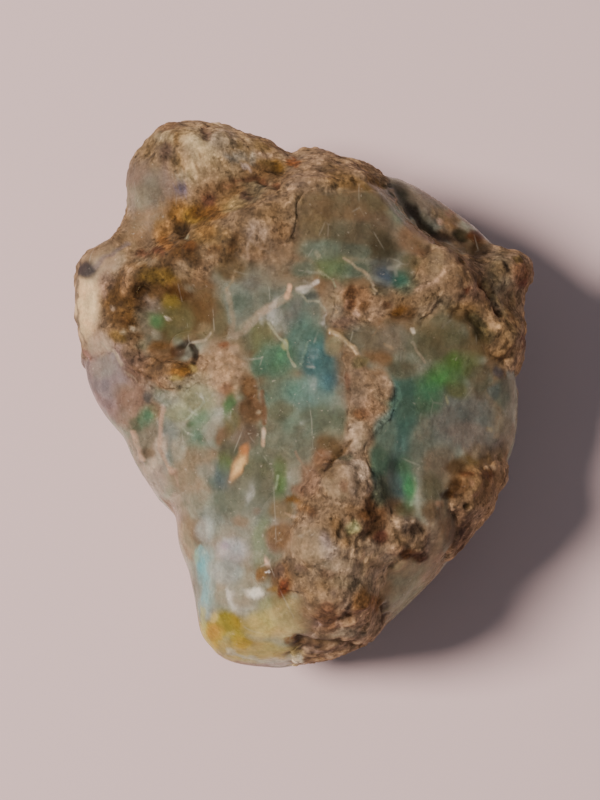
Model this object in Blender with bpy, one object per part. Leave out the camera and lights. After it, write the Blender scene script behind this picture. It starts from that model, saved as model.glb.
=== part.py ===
"""Rough opal: a broken nodule of precious opal that still carries islands of its brown host rock.

The opal is one translucent body.  Four islands of host rock are left on it: the crest that wraps the
upper left corner, the shoulder on the right, the tongue that runs down the middle, and the heel low on
the right.  Lengths are millimetres until the meshes are written out in metres.  +X is to the right,
+Y runs up the length of the stone, +Z is up, and the origin is on the flat break that it rests on.
"""

import math

import bmesh
import bpy
import numpy as np
from mathutils import Vector, noise

MM = 0.001

# ---- the whole stone -------------------------------------------------------------------------------
# Outline of the girdle, seen from above, one point at each corner or bay.
OUTLINE = (
    (8.4, 0.6), (8.6, 2.0), (8.3, 3.5), (8.8, 4.3), (8.9, 4.9), (8.5, 5.5), (7.9, 5.4), (7.2, 6.2),
    (5.8, 7.4), (4.5, 8.2), (3.4, 8.6), (1.8, 9.2), (0.5, 9.5), (-0.5, 9.4), (-1.2, 9.8), (-2.7, 10.3),
    (-4.0, 10.6), (-5.0, 10.7), (-5.7, 10.4), (-6.4, 9.5), (-6.8, 8.5), (-6.8, 7.6), (-6.7, 6.9),
    (-7.0, 6.2), (-7.8, 5.6), (-8.5, 5.2), (-8.8, 4.6), (-8.8, 3.0), (-8.5, 1.6), (-8.4, 0.6),
    (-7.7, -0.7), (-6.8, -1.7), (-6.2, -3.0), (-5.5, -4.1), (-4.9, -4.6), (-4.8, -5.8), (-4.4, -6.6),
    (-4.1, -8.0), (-4.0, -9.4), (-3.2, -10.3), (-2.3, -10.5), (-1.0, -10.5), (1.2, -10.0), (2.6, -9.6),
    (3.0, -9.1), (4.2, -8.1), (5.3, -7.1), (6.2, -5.8), (7.2, -4.3), (7.9, -2.8), (8.4, -1.3),
)
# Height of the girdle, where the stone is widest, by bearing in degrees from +X.
GIRDLE = ((0, 4.4), (35, 4.9), (75, 4.6), (118, 5.3), (150, 5.6), (185, 5.0), (225, 4.2), (250, 3.8),
          (285, 4.0), (320, 3.9))
UPPER_POWER = 2.5
LOWER_POWER = 3.0
KEEL_DEPTH = 5.7
HEART = (0.0, 0.0, 4.8)
ROOT = (0.0, 0.0, 0.6)

# Heights of the upper surface above the rest, (x, y, z), region by region.
CROWN = {
    "lobe": ((-4.5, 8.2, 8.5), (-5.5, 7.2, 7.9), (-2.8, 8.4, 8.6), (-1.2, 8.2, 8.2)),
    "groove": ((-5.0, 5.8, 7.8), (-3.4, 6.9, 8.2), (-1.9, 7.5, 8.5)),
    "crest": ((-6.2, 3.9, 8.2), (-4.6, 4.5, 9.1), (-3.0, 5.4, 9.7), (-1.2, 6.1, 9.9), (0.6, 7.0, 9.4),
              (2.2, 7.1, 8.8)),
    "plateau": ((1.3, 5.5, 9.8), (3.4, 5.3, 9.2), (1.0, 4.2, 9.9)),
    "wedge": ((4.9, 6.7, 7.0), (6.1, 5.9, 6.6)),
    "basin": ((-1.6, 2.6, 9.0), (-0.1, 1.3, 8.9), (-2.4, 0.8, 8.8), (-0.1, -1.1, 8.9),
              (-2.0, -2.2, 8.7), (-0.1, -3.0, 8.7)),
    "vein": ((1.7, 2.5, 9.6), (3.2, 2.9, 9.4)),
    "shoulder": ((5.1, 4.1, 9.0), (6.6, 2.8, 8.3), (8.0, 1.6, 6.7), (4.7, 2.2, 9.0)),
    "right facet": ((4.7, -0.2, 8.3), (6.7, -0.7, 6.9), (7.8, -1.6, 5.8), (4.3, -3.2, 8.2),
                    (5.9, -2.9, 7.1)),
    "tongue": ((2.9, -0.7, 9.3), (2.2, -2.7, 9.3), (1.5, -4.5, 9.6), (0.8, -6.5, 9.5),
               (0.8, -8.5, 8.8), (1.5, -9.6, 7.2)),
    "heel": ((6.7, -4.4, 6.3), (5.5, -6.0, 6.7), (4.3, -6.2, 7.8), (4.3, -7.8, 6.2)),
    "lower left": ((-2.7, -4.7, 8.1), (-1.5, -6.9, 8.0), (-3.0, -7.5, 7.0), (-2.4, -9.4, 6.3),
                   (-3.8, -6.7, 6.1), (-0.5, -9.2, 7.5)),
    "left side": ((-5.2, 1.9, 7.6), (-6.8, 1.8, 7.7), (-4.9, 0.3, 8.4), (-3.7, -1.0, 8.4),
                  (-5.7, -1.9, 6.8), (-7.9, 3.2, 6.8), (-8.0, 0.3, 5.8), (-5.3, -3.4, 6.6),
                  (-4.3, -4.5, 6.8), (-6.6, -0.7, 6.8)),
}
CROWN_REACH = 1.9
# How loosely the upper surface follows these heights, and the least fall to the rim that they are read with.
CROWN_EASE = 0.08
LEAST_FALL = 0.45

# ---- ridges and crevices of the upper side: route in plan, half width, height -------------------------
CREASES = (
    # the groove between the lobe and the crest
    (((-6.3, 5.0), (-5.2, 5.8), (-3.9, 6.7), (-2.5, 7.3), (-1.3, 8.2)), 0.75, -0.36),
    # the crest's rounded spine, and its lip over the basin
    (((-6.3, 3.9), (-4.7, 4.6), (-3.0, 5.4), (-1.3, 6.1), (0.6, 6.9), (2.4, 7.2)), 0.95, 0.35),
    (((-3.6, 1.0), (-3.2, 2.6), (-2.2, 3.8), (-0.4, 4.4)), 0.45, 0.30),
    # the crevice under the broken edge of the plateau
    (((2.6, 8.0), (3.5, 7.0), (4.2, 6.0), (5.3, 5.3), (6.4, 5.1)), 0.50, -0.60),
    (((2.3, 7.0), (3.2, 6.0), (4.3, 5.2), (5.4, 4.6)), 0.50, 0.30),
    # the shoulder's spine and the dark crevice behind it
    (((5.0, 4.5), (6.2, 3.5), (7.2, 2.4), (8.2, 1.2)), 0.55, 0.38),
    (((6.7, 4.4), (7.3, 3.5), (7.8, 2.6)), 0.45, -0.30),
    # the vein of rock that links the shoulder with the basin
    (((1.2, 2.4), (2.2, 2.2), (3.4, 2.7), (4.6, 2.7)), 0.42, 0.25),
    # the tongue's spine and the bays on each side of it
    (((2.0, 1.1), (2.8, -0.5), (2.3, -2.6)), 0.70, 0.16),
    (((3.4, -3.0), (3.5, -4.6), (3.9, -5.0)), 0.45, -0.35),
    (((-0.7, -4.2), (-1.3, -5.8), (-1.4, -6.4)), 0.50, -0.25),
    # the front edge of the opal between the knob and the tongue
    (((-3.3, -6.2), (-2.9, -8.4), (-1.9, -9.6)), 0.55, 0.28),
)

# The relief fades in over this share of the height from the girdle up, and each lump has this steepness.
RELIEF_FADE = (0.05, 0.45)
LUMP_STEEPNESS = 1.5

# ---- lumps and pits of the upper side: centre in plan, radii, turn in degrees, height -------------
LUMPS = (
    # the eye: a round pit with a dark rim
    ((-5.2, 1.9), (1.55, 1.3), 15, -0.60),
    ((-5.0, 0.45), (1.25, 0.45), -12, 0.30),
    ((-6.9, 1.6), (0.45, 1.1), 10, 0.25),
    # the lobe's knuckles
    ((-4.9, 9.0), (1.1, 0.9), 20, 0.30),
    ((-3.2, 8.9), (0.9, 0.7), 0, 0.28),
    ((-1.5, 8.7), (0.9, 0.6), -25, 0.25),
    ((-4.3, 7.6), (0.7, 0.5), 30, 0.22),
    # the deep bottom of the groove
    ((-4.9, 5.7), (0.7, 0.6), 0, -0.25),
    # the crest's grains
    ((-6.1, 3.4), (0.8, 0.7), 0, 0.28),
    ((-5.0, 4.2), (0.7, 0.6), 0, 0.22),
    ((-2.1, 5.0), (0.8, 0.6), 20, 0.22),
    ((0.3, 6.7), (0.7, 0.5), 0, 0.25),
    # the basin's two hollows
    ((-0.9, 1.9), (1.9, 1.5), 20, -0.30),
    ((-0.6, -1.3), (1.6, 1.4), -20, -0.28),
    # the tongue's boulders
    ((1.5, -4.2), (0.9, 0.8), 0, 0.32),
    ((0.5, -5.9), (0.8, 0.9), 0, 0.28),
    ((1.7, -6.4), (0.8, 0.7), 0, 0.22),
    ((1.2, -8.4), (1.2, 0.8), 10, 0.42),
    ((-0.6, -7.6), (0.7, 0.6), 0, 0.24),
    ((3.9, -6.1), (0.8, 0.7), 0, 0.40),
    ((2.2, -7.6), (0.6, 0.5), 0, -0.28),
    # the heel's two humps
    ((6.3, -4.4), (0.8, 0.9), 30, 0.30),
    ((5.9, -5.8), (0.7, 0.9), -20, 0.26),
    # the shoulder's end and inner knuckle
    ((7.6, 2.0), (0.8, 0.8), 0, 0.30),
    ((4.9, 2.6), (0.8, 0.7), 0, 0.22),
    # the glassy knob and the little hollow above it
    ((-2.5, -9.2), (1.0, 0.9), 0, 0.30),
    ((-2.4, -7.9), (0.9, 0.7), 0, -0.22),
)

# ---- flat breaks round the side and under the stone: bearing, slope of the normal, distance -----------
BREAKS = (
    (8, -34, 7.7), (48, -30, 8.7), (92, -36, 8.1), (124, -28, 10.5), (152, -42, 7.9), (186, -34, 7.7),
    (218, -46, 6.6), (252, -40, 9.3), (286, -32, 9.5), (323, -38, 7.2), (20, -62, 6.7),
    (110, -60, 7.3), (205, -64, 6.4), (280, -60, 7.9),
)
BREAK_EDGE = 0.30
BREAK_SHARE = 0.85

# ---- fine grain ------------------------------------------------------------------------------------
ROCK_GRAIN = 0.19
ROCK_GRAIN_SIZE = 0.95
FINER_GRAIN_SHARE = 0.6
OPAL_SWELL = 0.07
OPAL_SWELL_SIZE = 2.6
BROAD_SWELL = 0.22
BROAD_SWELL_SIZE = 4.2

SPHERE_STEPS = 6
BODY_TRIANGLES = 4350
# What comes this near the rest is part of the flat break that the stone lies on.
FLAT_WITHIN = 0.02

# ---- the host rock left on the opal ------------------------------------------------------------------
GAP = 0.08
ROCK_EDGE_PROUD = 0.07
OPAL_EDGE_SUNK = 0.15
ROCK_TAPER = 1.3
RAGGED_EDGE = 0.35
RAGGED_EDGE_SIZE = 1.6
RAGGED_FOOT = 0.9
RAGGED_FOOT_SIZE = 2.4
# Each island: its plan outline, the height that it reaches down to on the side, and its depth and rise.
ISLANDS = {
    "matrix_crest": {
        "plan": ((-10.5, 1.0), (-8.0, 0.8), (-7.2, 1.0), (-6.6, 0.2), (-5.3, -0.6), (-3.8, -0.6),
                 (-3.2, 0.6), (-3.8, 1.3), (-4.6, 0.8), (-5.8, 0.8), (-6.4, 1.6), (-6.4, 2.5),
                 (-5.8, 3.1), (-4.5, 3.1), (-3.3, 3.1), (-2.5, 3.7), (-1.5, 4.2), (-0.2, 4.4),
                 (0.1, 5.4), (0.5, 6.3), (1.6, 6.6), (2.9, 6.8), (3.3, 7.8), (3.6, 12.0),
                 (-8.0, 13.0), (-11.0, 9.0)),
        "down_to": 2.6, "depth": 0.75, "rise": 0.0,
    },
    "matrix_shoulder": {
        "plan": ((6.2, 5.1), (5.2, 5.0), (3.9, 4.4), (3.9, 3.5), (3.0, 3.2), (1.8, 3.4),
                 (0.7, 3.2), (0.7, 1.7), (1.7, 1.4), (2.9, 1.3), (3.7, 1.7), (4.7, 1.7), (5.7, 2.1),
                 (6.4, 1.8), (6.9, 1.0), (7.5, 0.4), (10.5, 0.2), (10.5, 6.2), (8.0, 6.4), (7.0, 5.4)),
        "down_to": 3.4, "depth": 0.65, "rise": 0.06,
    },
    "matrix_tongue": {
        "plan": ((1.5, 1.4), (2.4, 1.0), (2.9, -0.1), (3.6, -0.4), (3.6, -1.3), (3.1, -2.1),
                 (2.8, -2.9), (2.9, -3.8), (3.0, -4.9), (3.5, -5.6), (4.2, -5.4), (4.7, -5.7),
                 (5.0, -6.5), (4.5, -7.1), (3.5, -7.0), (3.0, -7.8), (3.2, -8.7), (3.2, -9.6),
                 (3.2, -12.0), (-0.1, -12.0), (-0.7, -10.1), (-0.2, -9.4), (-0.5, -8.5), (-1.4, -8.2),
                 (-1.6, -7.3), (-1.0, -6.5), (-0.8, -5.3), (-0.2, -4.1), (0.1, -3.5), (0.9, -2.7),
                 (1.5, -1.9), (1.6, -0.9), (1.3, 0.3)),
        "down_to": 3.0, "depth": 0.70, "rise": 0.18,
    },
    "matrix_heel": {
        "plan": ((5.2, -4.2), (6.2, -3.2), (7.4, -2.6), (10.5, -2.2), (10.5, -5.6), (7.2, -8.2),
                 (5.7, -7.4), (5.2, -6.4), (5.4, -5.5), (5.0, -4.9)),
        "down_to": 2.4, "depth": 0.60, "rise": 0.12,
    },
}


def smooth_step(value, low, high):
    """0 below low, 1 above high, and a smooth rise between them."""
    t = np.clip((value - low) / (high - low), 0.0, 1.0)
    return t * t * (3.0 - 2.0 * t)


def by_bearing(bearing, table):
    """Read a table of (degrees, value) all the way round."""
    degrees = [row[0] for row in table]
    values = [row[1] for row in table]
    return np.interp(np.degrees(bearing) % 360.0, degrees, values, period=360.0)


def outline_radius(bearing):
    """Distance from the middle to the girdle at each bearing."""
    rows = sorted((math.degrees(math.atan2(y, x)) % 360.0, math.hypot(x, y)) for x, y in OUTLINE)
    return by_bearing(bearing, rows)


def girdle_height(bearing, share):
    """Height of the girdle, evened out towards the middle of the stone."""
    mean = np.mean([height for _, height in GIRDLE])
    return mean + (by_bearing(bearing, GIRDLE) - mean) * share ** 2


def crown_height(x, y):
    """How far the crown would stand over the girdle without its fall to the rim, from the heights."""
    places = np.array([place for region in CROWN.values() for place in region])
    px, py, pz = places.T
    bearing = np.arctan2(py, px)
    share = np.hypot(px, py) / outline_radius(bearing)
    fall = rim_fall(share, UPPER_POWER)
    lift = (pz - girdle_height(bearing, share)) / np.maximum(fall, LEAST_FALL)
    mean = lift.mean()
    apart = np.hypot(px[:, None] - px, py[:, None] - py)
    weights = np.linalg.solve(
        np.exp(-(apart / CROWN_REACH) ** 2) + CROWN_EASE * np.eye(len(px)), lift - mean)
    away = np.hypot(x[:, None] - px, y[:, None] - py)
    return mean + np.exp(-(away / CROWN_REACH) ** 2) @ weights


def rim_fall(share, power):
    """Height of the section, 1 in the middle and 0 at the girdle, for a share of the plan radius."""
    return (1.0 - np.clip(share, 0.0, 1.0) ** power) ** (1.0 / power)


def off_route(x, y, route):
    """Distance in plan from each point to a route of straight runs."""
    nearest = np.full(x.shape, 1e9)
    for (ax, ay), (bx, by) in zip(route, route[1:]):
        run = np.array((bx - ax, by - ay))
        along = np.clip(((x - ax) * run[0] + (y - ay) * run[1]) / run.dot(run), 0.0, 1.0)
        nearest = np.minimum(nearest, np.hypot(x - ax - along * run[0], y - ay - along * run[1]))
    return nearest


def in_plan(x, y, corners):
    """Whether each point lies inside a plan outline."""
    inside = np.zeros(x.shape, dtype=bool)
    for (ax, ay), (bx, by) in zip(corners, corners[1:] + corners[:1]):
        crosses = (ay > y) != (by > y)
        reach = np.where(crosses, (y - ay) / ((by - ay) or 1e-9) * (bx - ax) + ax, 0.0)
        inside ^= crosses & (x < reach)
    return inside


def speckle(points, size, seed):
    """Smooth noise between about -1 and 1, one value for each point."""
    shift = Vector((seed * 7.31, seed * 3.17, seed * 5.53))
    return np.array([noise.noise(Vector(p) / size + shift) for p in points])


def upper_relief(x, y):
    """Ridges, crevices, lumps and pits of the upper side, as a height."""
    height = np.zeros_like(x)
    for route, half_width, rise in CREASES:
        height += rise * np.exp(-(off_route(x, y, route) / half_width) ** 2)
    for (cx, cy), (rx, ry), turn, rise in LUMPS:
        c, s = math.cos(math.radians(turn)), math.sin(math.radians(turn))
        across = ((x - cx) * c + (y - cy) * s) / rx
        along = ((y - cy) * c - (x - cx) * s) / ry
        height += rise * np.exp(-(across ** 2 + along ** 2) ** LUMP_STEEPNESS)
    return height


def break_off(points):
    """Cut the flat breaks into the side and the underside, with slightly rounded edges."""
    heart = np.array(HEART)
    for bearing, slope, distance in BREAKS:
        b, s = math.radians(bearing), math.radians(slope)
        normal = np.array((math.cos(b) * math.cos(s), math.sin(b) * math.cos(s), math.sin(s)))
        proud = (points - heart) @ normal - distance
        cut = 0.5 * (proud + np.sqrt(proud ** 2 + BREAK_EDGE ** 2)) - 0.5 * BREAK_EDGE
        points = points - np.maximum(cut, 0.0)[:, None] * normal * BREAK_SHARE
    return points


def under_island(points, island):
    """Whether each point is under an island of rock, whose edge is ragged."""
    x, y, z = points.T
    ragged = RAGGED_EDGE * speckle(points, RAGGED_EDGE_SIZE, 5)
    foot = island["down_to"] + RAGGED_FOOT * speckle(points, RAGGED_FOOT_SIZE, 6)
    return in_plan(x + ragged, y - ragged, island["plan"]) & (z > foot)


def rock_share(points):
    """1 where host rock covers the stone, 0 where the opal is bare."""
    share = np.zeros(len(points))
    for island in ISLANDS.values():
        share = np.maximum(share, under_island(points, island))
    return share


def shape_body(sphere):
    """Turn the unit sphere's points into the stone's."""
    sx, sy, sz = sphere.T
    bearing = np.arctan2(sy, sx)
    power = np.where(sz > 0.0, UPPER_POWER, LOWER_POWER)
    share = np.hypot(sx, sy) ** (2.0 / power)
    radius = share * outline_radius(bearing)
    x, y = radius * np.cos(bearing), radius * np.sin(bearing)
    girdle = girdle_height(bearing, share)
    fall = rim_fall(share, power)
    z = girdle + fall * np.where(sz > 0.0, crown_height(x, y), -KEEL_DEPTH)
    z += smooth_step(sz, *RELIEF_FADE) * upper_relief(x, y)
    points = break_off(np.column_stack((x, y, z)))

    outward = points - np.array(HEART)
    outward /= np.linalg.norm(outward, axis=1)[:, None]
    rock = rock_share(points)
    swell = BROAD_SWELL * speckle(points, BROAD_SWELL_SIZE, 1)
    swell += OPAL_SWELL * speckle(points, OPAL_SWELL_SIZE, 2)
    swell += rock * ROCK_GRAIN * (speckle(points, ROCK_GRAIN_SIZE, 3)
                                  + FINER_GRAIN_SHARE * speckle(points, ROCK_GRAIN_SIZE / 2.0, 4))
    points += swell[:, None] * outward
    points[:, 2] = np.maximum(points[:, 2], 0.0)
    return points


def read_points(mesh):
    flat = np.empty(len(mesh.vertices) * 3)
    mesh.vertices.foreach_get("co", flat)
    return flat.reshape(-1, 3).astype(float)


def write_points(mesh, points):
    mesh.vertices.foreach_set("co", points.astype(np.float32).ravel())
    mesh.update()


def make_body():
    """The whole stone as one mesh in millimetres, thinned to the triangles that its shape needs."""
    bpy.ops.mesh.primitive_ico_sphere_add(subdivisions=SPHERE_STEPS, radius=1.0)
    body = bpy.context.object
    write_points(body.data, shape_body(read_points(body.data)))
    thin = body.modifiers.new("thin", "DECIMATE")
    thin.ratio = BODY_TRIANGLES / len(body.data.polygons)
    evaluated = body.evaluated_get(bpy.context.evaluated_depsgraph_get())
    mesh = bpy.data.meshes.new_from_object(evaluated)
    bpy.data.objects.remove(body)
    points = read_points(mesh)
    points[points[:, 2] < FLAT_WITHIN, 2] = 0.0
    write_points(mesh, points)
    return mesh


def fans_at(vert, chosen):
    """The chosen faces round a vertex, grouped into fans that share edges."""
    left = {face for face in vert.link_faces if face in chosen}
    fans = []
    while left:
        fan, todo = set(), [left.pop()]
        while todo:
            face = todo.pop()
            fan.add(face)
            for edge in face.edges:
                if vert in edge.verts:
                    for other in edge.link_faces:
                        if other in left:
                            left.discard(other)
                            todo.append(other)
        fans.append(fan)
    return fans


def one_piece(chosen):
    """The largest joined group of the chosen faces."""
    left, largest = set(chosen), set()
    while left:
        group, todo = set(), [left.pop()]
        while todo:
            face = todo.pop()
            group.add(face)
            for edge in face.edges:
                for other in edge.link_faces:
                    if other in left:
                        left.discard(other)
                        todo.append(other)
        if len(group) > len(largest):
            largest = group
    return largest


def island_faces(bm, island, points):
    """Faces that an island of rock covers: one piece, with no two parts that touch at a point only."""
    inside = under_island(points, island)
    chosen = {face for face in bm.faces if all(inside[vert.index] for vert in face.verts)}
    pinched = True
    while pinched:
        chosen = one_piece(chosen)
        pinched = False
        for vert in bm.verts:
            fans = fans_at(vert, chosen)
            fans.sort(key=lambda fan: (len(fan), min(face.index for face in fan)))
            for fan in fans[:-1]:
                chosen -= fan
                pinched = True
    return chosen


def from_edge(bm, chosen):
    """Distance over the surface from each covered vertex to the island's edge."""
    rim = {vert for face in chosen for edge in face.edges
           if any(other not in chosen for other in edge.link_faces) for vert in edge.verts}
    away = {vert: 0.0 for vert in rim}
    front = list(rim)
    while front:
        reached = []
        for vert in front:
            for edge in vert.link_edges:
                if not any(face in chosen for face in edge.link_faces):
                    continue
                other = edge.other_vert(vert)
                distance = away[vert] + edge.calc_length()
                if distance < away.get(other, 1e9):
                    away[other] = distance
                    reached.append(other)
        front = reached
    return {vert.index: distance for vert, distance in away.items()}


def material(name, colour, roughness, transmission=0.0):
    made = bpy.data.materials.new(name)
    made.use_nodes = True
    shader = made.node_tree.nodes["Principled BSDF"]
    shader.inputs["Base Color"].default_value = (*colour, 1.0)
    shader.inputs["Roughness"].default_value = roughness
    shader.inputs["Metallic"].default_value = 0.0
    shader.inputs["Transmission Weight"].default_value = transmission
    made.diffuse_color = (*colour, 1.0)
    return made


def finish(name, bm, stuff, collection):
    """Write a solid out in metres as its own object."""
    bmesh.ops.scale(bm, vec=(MM, MM, MM), verts=bm.verts)
    mesh = bpy.data.meshes.new(name)
    bm.to_mesh(mesh)
    bm.free()
    mesh.materials.append(stuff)
    made = bpy.data.objects.new(name, mesh)
    collection.objects.link(made)


def make_island(name, island, body, stuff, collection):
    """A crust of host rock on the opal, and how far the opal is eaten away under it at each vertex."""
    root = Vector(ROOT)
    bm = bmesh.new()
    bm.from_mesh(body)
    bm.verts.ensure_lookup_table()
    chosen = island_faces(bm, island, read_points(body))
    depth = {}
    for index, distance in from_edge(bm, chosen).items():
        depth[index] = float(smooth_step(distance, 0.0, ROCK_TAPER))
    inner = bm.verts.layers.float.new("inner")
    outer = bm.verts.layers.float.new("outer")
    for index, share in depth.items():
        vert = bm.verts[index]
        vert[inner] = GAP - OPAL_EDGE_SUNK - island["depth"] * share
        vert[outer] = ROCK_EDGE_PROUD + island["rise"] * share
    spare = [face for face in bm.faces if face not in chosen]
    bmesh.ops.delete(bm, geom=spare, context="FACES")
    grown = bmesh.ops.extrude_face_region(bm, geom=bm.faces[:], use_keep_orig=True)["geom"]
    tops = {item for item in grown if isinstance(item, bmesh.types.BMVert)}
    for vert in bm.verts:
        outward = (vert.co - root).normalized()
        vert.co += outward * (vert[outer] if vert in tops else vert[inner])
    bmesh.ops.triangulate(bm, faces=bm.faces[:])
    bmesh.ops.recalc_face_normals(bm, faces=bm.faces[:])
    finish(name, bm, stuff, collection)
    return {index: OPAL_EDGE_SUNK + share * island["depth"] for index, share in depth.items()}


def main():
    for old in list(bpy.data.objects):
        bpy.data.objects.remove(old)
    collection = bpy.data.collections.new("rough_opal")
    bpy.context.scene.collection.children.link(collection)

    opal_stuff = material("opal", (0.42, 0.52, 0.47), 0.22, 0.5)
    rock_stuff = material("host_rock", (0.30, 0.20, 0.12), 0.85)

    body = make_body()
    root = Vector(ROOT)
    bm = bmesh.new()
    bm.from_mesh(body)
    bm.verts.ensure_lookup_table()
    for name, island in ISLANDS.items():
        eaten = make_island(name, island, body, rock_stuff, collection)
        for index, depth in eaten.items():
            vert = bm.verts[index]
            vert.co -= (vert.co - root).normalized() * depth
    finish("opal", bm, opal_stuff, collection)


main()
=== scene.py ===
"""A rough opal, broken from a nodule, with its brown host rock still on it, lying on a pale table."""

import math

import bmesh
import bpy
import numpy as np
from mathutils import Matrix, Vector, noise
from mathutils.bvhtree import BVHTree


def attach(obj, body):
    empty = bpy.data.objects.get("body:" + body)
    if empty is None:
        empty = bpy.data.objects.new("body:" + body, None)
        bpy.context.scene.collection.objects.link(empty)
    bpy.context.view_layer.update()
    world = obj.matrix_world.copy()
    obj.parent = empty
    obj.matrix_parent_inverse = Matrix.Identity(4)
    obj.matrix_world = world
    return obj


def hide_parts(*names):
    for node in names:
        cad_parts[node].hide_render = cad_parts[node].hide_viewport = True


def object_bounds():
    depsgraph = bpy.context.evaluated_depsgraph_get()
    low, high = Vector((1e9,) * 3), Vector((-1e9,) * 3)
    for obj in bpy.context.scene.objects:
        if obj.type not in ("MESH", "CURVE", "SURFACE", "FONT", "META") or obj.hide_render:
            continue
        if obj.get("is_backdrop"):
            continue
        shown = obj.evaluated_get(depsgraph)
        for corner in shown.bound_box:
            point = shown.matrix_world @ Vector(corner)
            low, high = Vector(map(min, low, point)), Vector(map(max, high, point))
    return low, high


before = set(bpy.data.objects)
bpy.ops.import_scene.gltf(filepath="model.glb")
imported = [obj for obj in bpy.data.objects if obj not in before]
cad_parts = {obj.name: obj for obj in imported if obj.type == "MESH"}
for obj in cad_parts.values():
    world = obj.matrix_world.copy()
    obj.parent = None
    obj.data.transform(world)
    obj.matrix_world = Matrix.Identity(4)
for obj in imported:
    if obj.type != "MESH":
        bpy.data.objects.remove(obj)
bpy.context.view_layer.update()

# ---- the table, the light and the view ---------------------------------------------------------------
# The stone lies on a plain matt table top.  One soft lamp stands high on the left of it, and the camera
# looks down on it, leaning a little towards its lower end.
MM = 0.001
TABLE_SIZE = 0.9
TABLE_DROP = 0.01 * MM
TABLE_COLOUR = (0.56, 0.435, 0.45)
TABLE_ROUGHNESS = (0.8, 0.9)
TABLE_MOTTLES = 60.0
CAMERA_LEAN = math.radians(12.0)
CAMERA_DISTANCE = 80.0 * MM
CAMERA_LENS = 92.5
CAMERA_AIM = Vector((-0.136, -0.227, 4.6)) * MM
LAMP_BEARING = Vector((-1.0, -0.02, 1.14))
LAMP_DISTANCE = 0.42
LAMP_SIZE = 0.13
LAMP_POWER = 4.0
LAMP_COLOUR = (1.0, 0.86, 0.77)
SKY_COLOUR = (0.93, 0.95, 1.0, 1.0)
SKY_STRENGTH = 0.225


def set_inputs(tree, node, inputs):
    """Give each named input of a node its value, or join it to the socket given."""
    for name, value in inputs.items():
        if isinstance(value, bpy.types.NodeSocket):
            tree.links.new(value, node.inputs[name])
        else:
            node.inputs[name].default_value = value


def add_node(tree, kind, inputs, **settings):
    node = tree.nodes.new("ShaderNode" + kind)
    for name, value in settings.items():
        setattr(node, name, value)
    set_inputs(tree, node, inputs)
    return node


def paint_plain(name, colour, roughness):
    """A material with one colour, to be given its pattern by the section that uses it."""
    made = bpy.data.materials.new(name)
    made.use_nodes = True
    shader = made.node_tree.nodes["Principled BSDF"]
    set_inputs(made.node_tree, shader, {"Base Color": (*colour, 1.0), "Roughness": roughness})
    return made, made.node_tree, shader


def mesh_from(bm, name):
    mesh = bpy.data.meshes.new(name)
    bm.to_mesh(mesh)
    bm.free()
    return mesh


def add_object(name, data):
    made = bpy.data.objects.new(name, data)
    bpy.context.scene.collection.objects.link(made)
    return made


def look_along(thing, direction):
    thing.rotation_euler = direction.to_track_quat("-Z", "Y").to_euler()


bm = bmesh.new()
bmesh.ops.create_grid(bm, x_segments=1, y_segments=1, size=TABLE_SIZE / 2)
bmesh.ops.translate(bm, vec=(0.0, 0.0, -TABLE_DROP), verts=bm.verts)
table = add_object("table_top", mesh_from(bm, "table_top"))
table_paint, tree, shader = paint_plain("table_paint", TABLE_COLOUR, TABLE_ROUGHNESS[0])
mottle = add_node(tree, "TexNoise", {"Scale": TABLE_MOTTLES}).outputs["Fac"]
between = {"Value": mottle, "To Min": TABLE_ROUGHNESS[0], "To Max": TABLE_ROUGHNESS[1]}
set_inputs(tree, shader, {"Roughness": add_node(tree, "MapRange", between).outputs["Result"]})
table.data.materials.append(table_paint)
table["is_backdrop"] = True

lamp_data = bpy.data.lights.new("key_lamp", "AREA")
lamp_data.shape = "DISK"
lamp_data.size = LAMP_SIZE
lamp_data.energy = LAMP_POWER
lamp_data.color = LAMP_COLOUR
lamp = add_object("key_lamp", lamp_data)
lamp.location = LAMP_BEARING.normalized() * LAMP_DISTANCE
look_along(lamp, -LAMP_BEARING)

sky = bpy.data.worlds.new("room_light")
sky.use_nodes = True
sky_light = sky.node_tree.nodes["Background"]
set_inputs(sky.node_tree, sky_light, {"Color": SKY_COLOUR, "Strength": SKY_STRENGTH})
bpy.context.scene.world = sky

camera_data = bpy.data.cameras.new("camera")
camera_data.lens = CAMERA_LENS
camera_data.clip_start = 1.0 * MM
camera = add_object("camera", camera_data)
camera_back = Vector((0.0, -math.sin(CAMERA_LEAN), math.cos(CAMERA_LEAN)))
camera.location = CAMERA_AIM + CAMERA_DISTANCE * camera_back
look_along(camera, -camera_back)
bpy.context.scene.camera = camera

# ---- the stone's skin --------------------------------------------------------------------------------
# The whole outside of the stone, opal and rock together, as one even mesh in millimetres.  Each point
# keeps how much of each island of rock lies round it, so that every piece can be cut from the same skin.
HEART = np.array((0.0, 0.0, 3.0))
FAR_OUT = 40.0
SKIN_LEVEL = 7
SKIN_ROUNDS = 5
COVER_ROUNDS = 5
DEPTH_ROUNDS = 28
ISLANDS = ("matrix_crest", "matrix_shoulder", "matrix_tongue", "matrix_heel")
CALM_ROUNDS = 220
# The camera's frame, 600 across and 800 down, in which places on the upper side are given.
FRAME = (600.0, 800.0)
FRAME_LENS = CAMERA_LENS / 36.0 * FRAME[1]

# Where the rock lies flush with the opal and has no lumps: place, half sizes, turn, share, and how far
# it lies below the ridges round it in millimetres.
FLUSH = (
    (368, 382, 36, 56, 0, 1.0, 0.3), (350, 308, 50, 32, 0, 0.9, 0.34), (360, 440, 46, 26, 0, 0.9, 0.1),
    (194, 352, 18, 16, 0, 0.9, 0.0), (412, 258, 20, 22, 0, 0.5, 0.0), (222, 371, 22, 28, 0, 0.5, 0.0),
    (495, 315, 26, 26, 0, 0.4, 0.0), (310, 345, 44, 56, 0, 0.7, 0.0), (404, 540, 26, 30, 0, 0.8, 0.0),
)


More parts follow.
